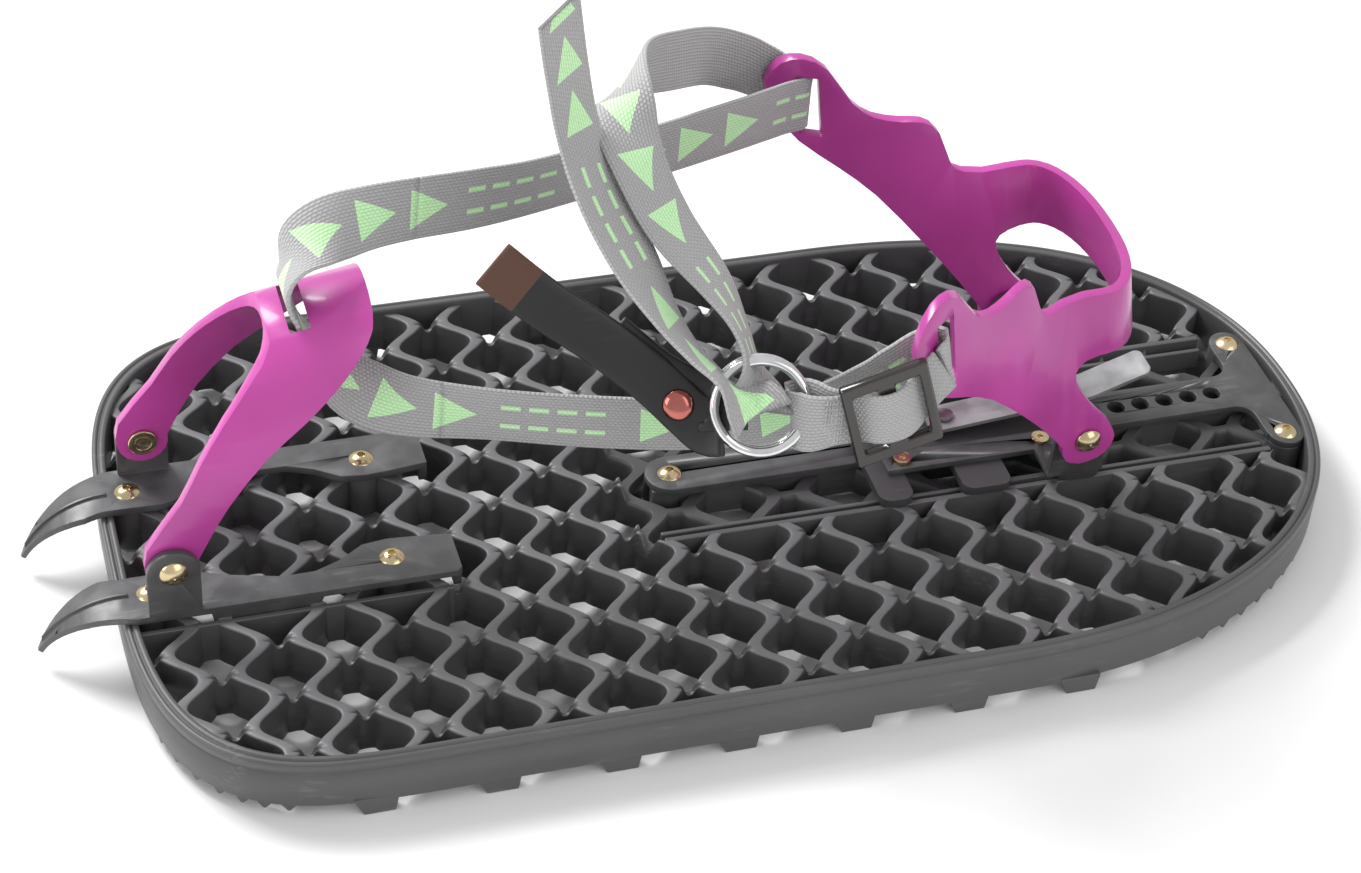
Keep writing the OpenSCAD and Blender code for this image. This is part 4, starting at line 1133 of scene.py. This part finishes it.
@dataclass
class PullTab:
    """Coated strip that opens the buckle, folded round the rings and riveted."""

    shop: Shop
    width: float = 15.0
    thick: float = 1.7
    step: float = 1.6
    rivet_run: float = 16.0
    brown_rows: int = 9

    def build(self) -> None:
        """Builds the strip's two layers, its cut end and its rivet."""
        across = (0.4, 0.35, 0.85)
        outer = [((-26.6, -65.0, 93.0), (0.5, 0.5, 0.75)), ((-30.5, -62.6, 92.0), (0.5, 0.45, 0.8)),
                 ((-35.5, -57.5, 95.4), across), ((-44, -51, 103.4), across),
                 ((-58, -45, 115.4), (0.4, 0.3, 0.8)), ((-74, -38, 126.6), (0.4, 0.3, 0.8)),
                 ((-88, -31.6, 138.6), (0.4, 0.3, 0.8))]
        inner = [((-26.6, -65.0, 93.0), (0.5, 0.5, 0.75)), ((-26.5, -61.0, 96.6), (0.5, 0.5, 0.75)),
                 ((-31, -55.4, 99.2), across), ((-37, -53.0, 101.6), across),
                 ((-44, -49, 105.4), across), ((-56, -43, 115.8), (0.4, 0.3, 0.8))]
        for name, route in (("pull_tab_strip", outer), ("pull_tab_return", inner)):
            band = Band(name, route, self.width, self.thick, self.step)
            piece = dress(band.build(), self.shop.leather, self.shop.cut_end)
            if name == "pull_tab_strip":
                self.brown_end(piece, len(band.section()))
                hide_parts("pull_tab")
                self.rivet(band)
            mount(piece, "pull_tab")

    def rivet(self, band: Band) -> None:
        """Domed rivet head on the strip's outer face.

        Args:
            band: The strip that the rivet goes through.
        """
        place, side, up, run = band.frames()
        i = int(np.argmax(run > self.rivet_run))
        sign = 1.0 if up[i][1] < 0 else -1.0
        out, a = up[i] * sign, side[i]
        b = np.cross(out, a)
        profile = [(4.6, 0.6), (4.7, 1.1), (4.2, 1.7), (3.0, 2.3), (1.5, 2.6), (0.02, 2.7)]
        n = 32
        verts = [place[i] + (a * math.cos(t) + b * math.sin(t)) * r + out * h
                 for r, h in profile for t in np.linspace(0, 2 * math.pi, n, endpoint=False)]
        faces = [(k * n + j, k * n + (j + 1) % n, (k + 1) * n + (j + 1) % n, (k + 1) * n + j)
                 for k in range(len(profile) - 1) for j in range(n)]
        piece = dress(make_piece("pull_tab_rivet_head", verts, faces), self.shop.copper)
        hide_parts("pull_tab_rivet")
        mount(piece, "pull_tab")

    def brown_end(self, piece: bpy.types.Object, ring: int) -> None:
        """Gives the last rows of the strip the finish of its cut end.

        Args:
            piece: The strip.
            ring: How many points go round it.
        """
        last = len(piece.data.vertices) // ring - self.brown_rows
        for face in piece.data.polygons:
            if min(face.vertices) // ring >= last:
                face.material_index = 1


# --------------------------------------------------------------------- studio


@dataclass
class Studio:
    """Floor, soft lights and the camera."""

    shop: Shop
    azimuth: float = -18.9
    elevation: float = 40.1
    roll: float = 4.2
    distance: float = 971.0
    lens: float = 79.35
    aim: tuple[float, float] = (15.7, -7.8)

    def camera(self) -> None:
        """Places the camera at the viewing angle."""
        az, el, ro = (math.radians(a) for a in (self.azimuth, self.elevation, self.roll))
        back = Vector((math.sin(az) * math.cos(el), -math.cos(az) * math.cos(el), math.sin(el)))
        flat = Vector((math.cos(az), math.sin(az), 0))
        rise = back.cross(flat)
        right = flat * math.cos(ro) + rise * math.sin(ro)
        up = -flat * math.sin(ro) + rise * math.cos(ro)
        eye = back * self.distance - right * self.aim[0] - up * self.aim[1]
        eye = (eye + Vector((SHIFT, 0, 22))) * MM
        data = bpy.data.cameras.new("Camera")
        data.sensor_width = 36.0
        data.lens = self.lens
        data.clip_start, data.clip_end = 0.05, 50.0
        camera = bpy.data.objects.new("Camera", data)
        camera.matrix_world = Matrix((
            (right.x, up.x, back.x, eye.x), (right.y, up.y, back.y, eye.y),
            (right.z, up.z, back.z, eye.z), (0, 0, 0, 1)))
        bpy.context.scene.collection.objects.link(camera)
        bpy.context.scene.camera = camera

    def floor(self) -> None:
        """Lays a wide floor with a gently rising edge."""
        verts, faces = [], []
        rings = [(0.0, 0.0), (600, 0.0), (1500, 0.0), (3000, 0.0), (5200, 40), (6500, 400)]
        n = 48
        for r, z in rings:
            for i in range(n):
                a = 2 * math.pi * i / n
                verts.append((r * math.cos(a), r * math.sin(a), z - 0.02))
        for k in range(len(rings) - 1):
            for i in range(n):
                faces.append((k * n + i, k * n + (i + 1) % n, (k + 1) * n + (i + 1) % n,
                              (k + 1) * n + i))
        piece = make_piece("floor", verts, faces, weld=0.01)
        dress(piece, self.shop.floor)

    def light(self, name: str, place: Point, size: float, watts: float) -> None:
        """Hangs one soft square light that faces the deck."""
        data = bpy.data.lights.new(name, "AREA")
        data.shape = "SQUARE"
        data.size = size
        data.energy = watts
        lamp = bpy.data.objects.new(name, data)
        lamp.location = place
        aim = Vector((0.0, 0.0, 0.04)) - Vector(place)
        lamp.rotation_mode = "QUATERNION"
        lamp.rotation_quaternion = aim.to_track_quat("-Z", "Y")
        bpy.context.scene.collection.objects.link(lamp)

    def build(self) -> None:
        """Builds the whole studio."""
        self.camera()
        self.floor()
        self.light("Key light", (-0.8, 1.1, 1.5), 0.8, 40.0)
        self.light("Fill light", (0.9, -1.4, 1.2), 1.4, 9.0)
        self.light("Side light", (-1.6, -0.4, 0.7), 0.8, 6.0)
        world = bpy.data.worlds.new("World")
        world.use_nodes = True
        world.node_tree.nodes["Background"].inputs[0].default_value = (1, 1, 1, 1)
        world.node_tree.nodes["Background"].inputs[1].default_value = 0.68
        bpy.context.scene.world = world
        bpy.context.scene.view_settings.view_transform = "Standard"


def main() -> None:
    """Builds the snowshoe in order."""
    logging.basicConfig(level=logging.INFO, format="%(name)s: %(message)s")
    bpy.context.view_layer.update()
    shop = Shop.open()
    Studio(shop).build()
    Deck(shop).build()
    Hardware(shop).build()
    Straps(shop).build()
    PullTab(shop).build()


if __name__ == "__main__":
    main()
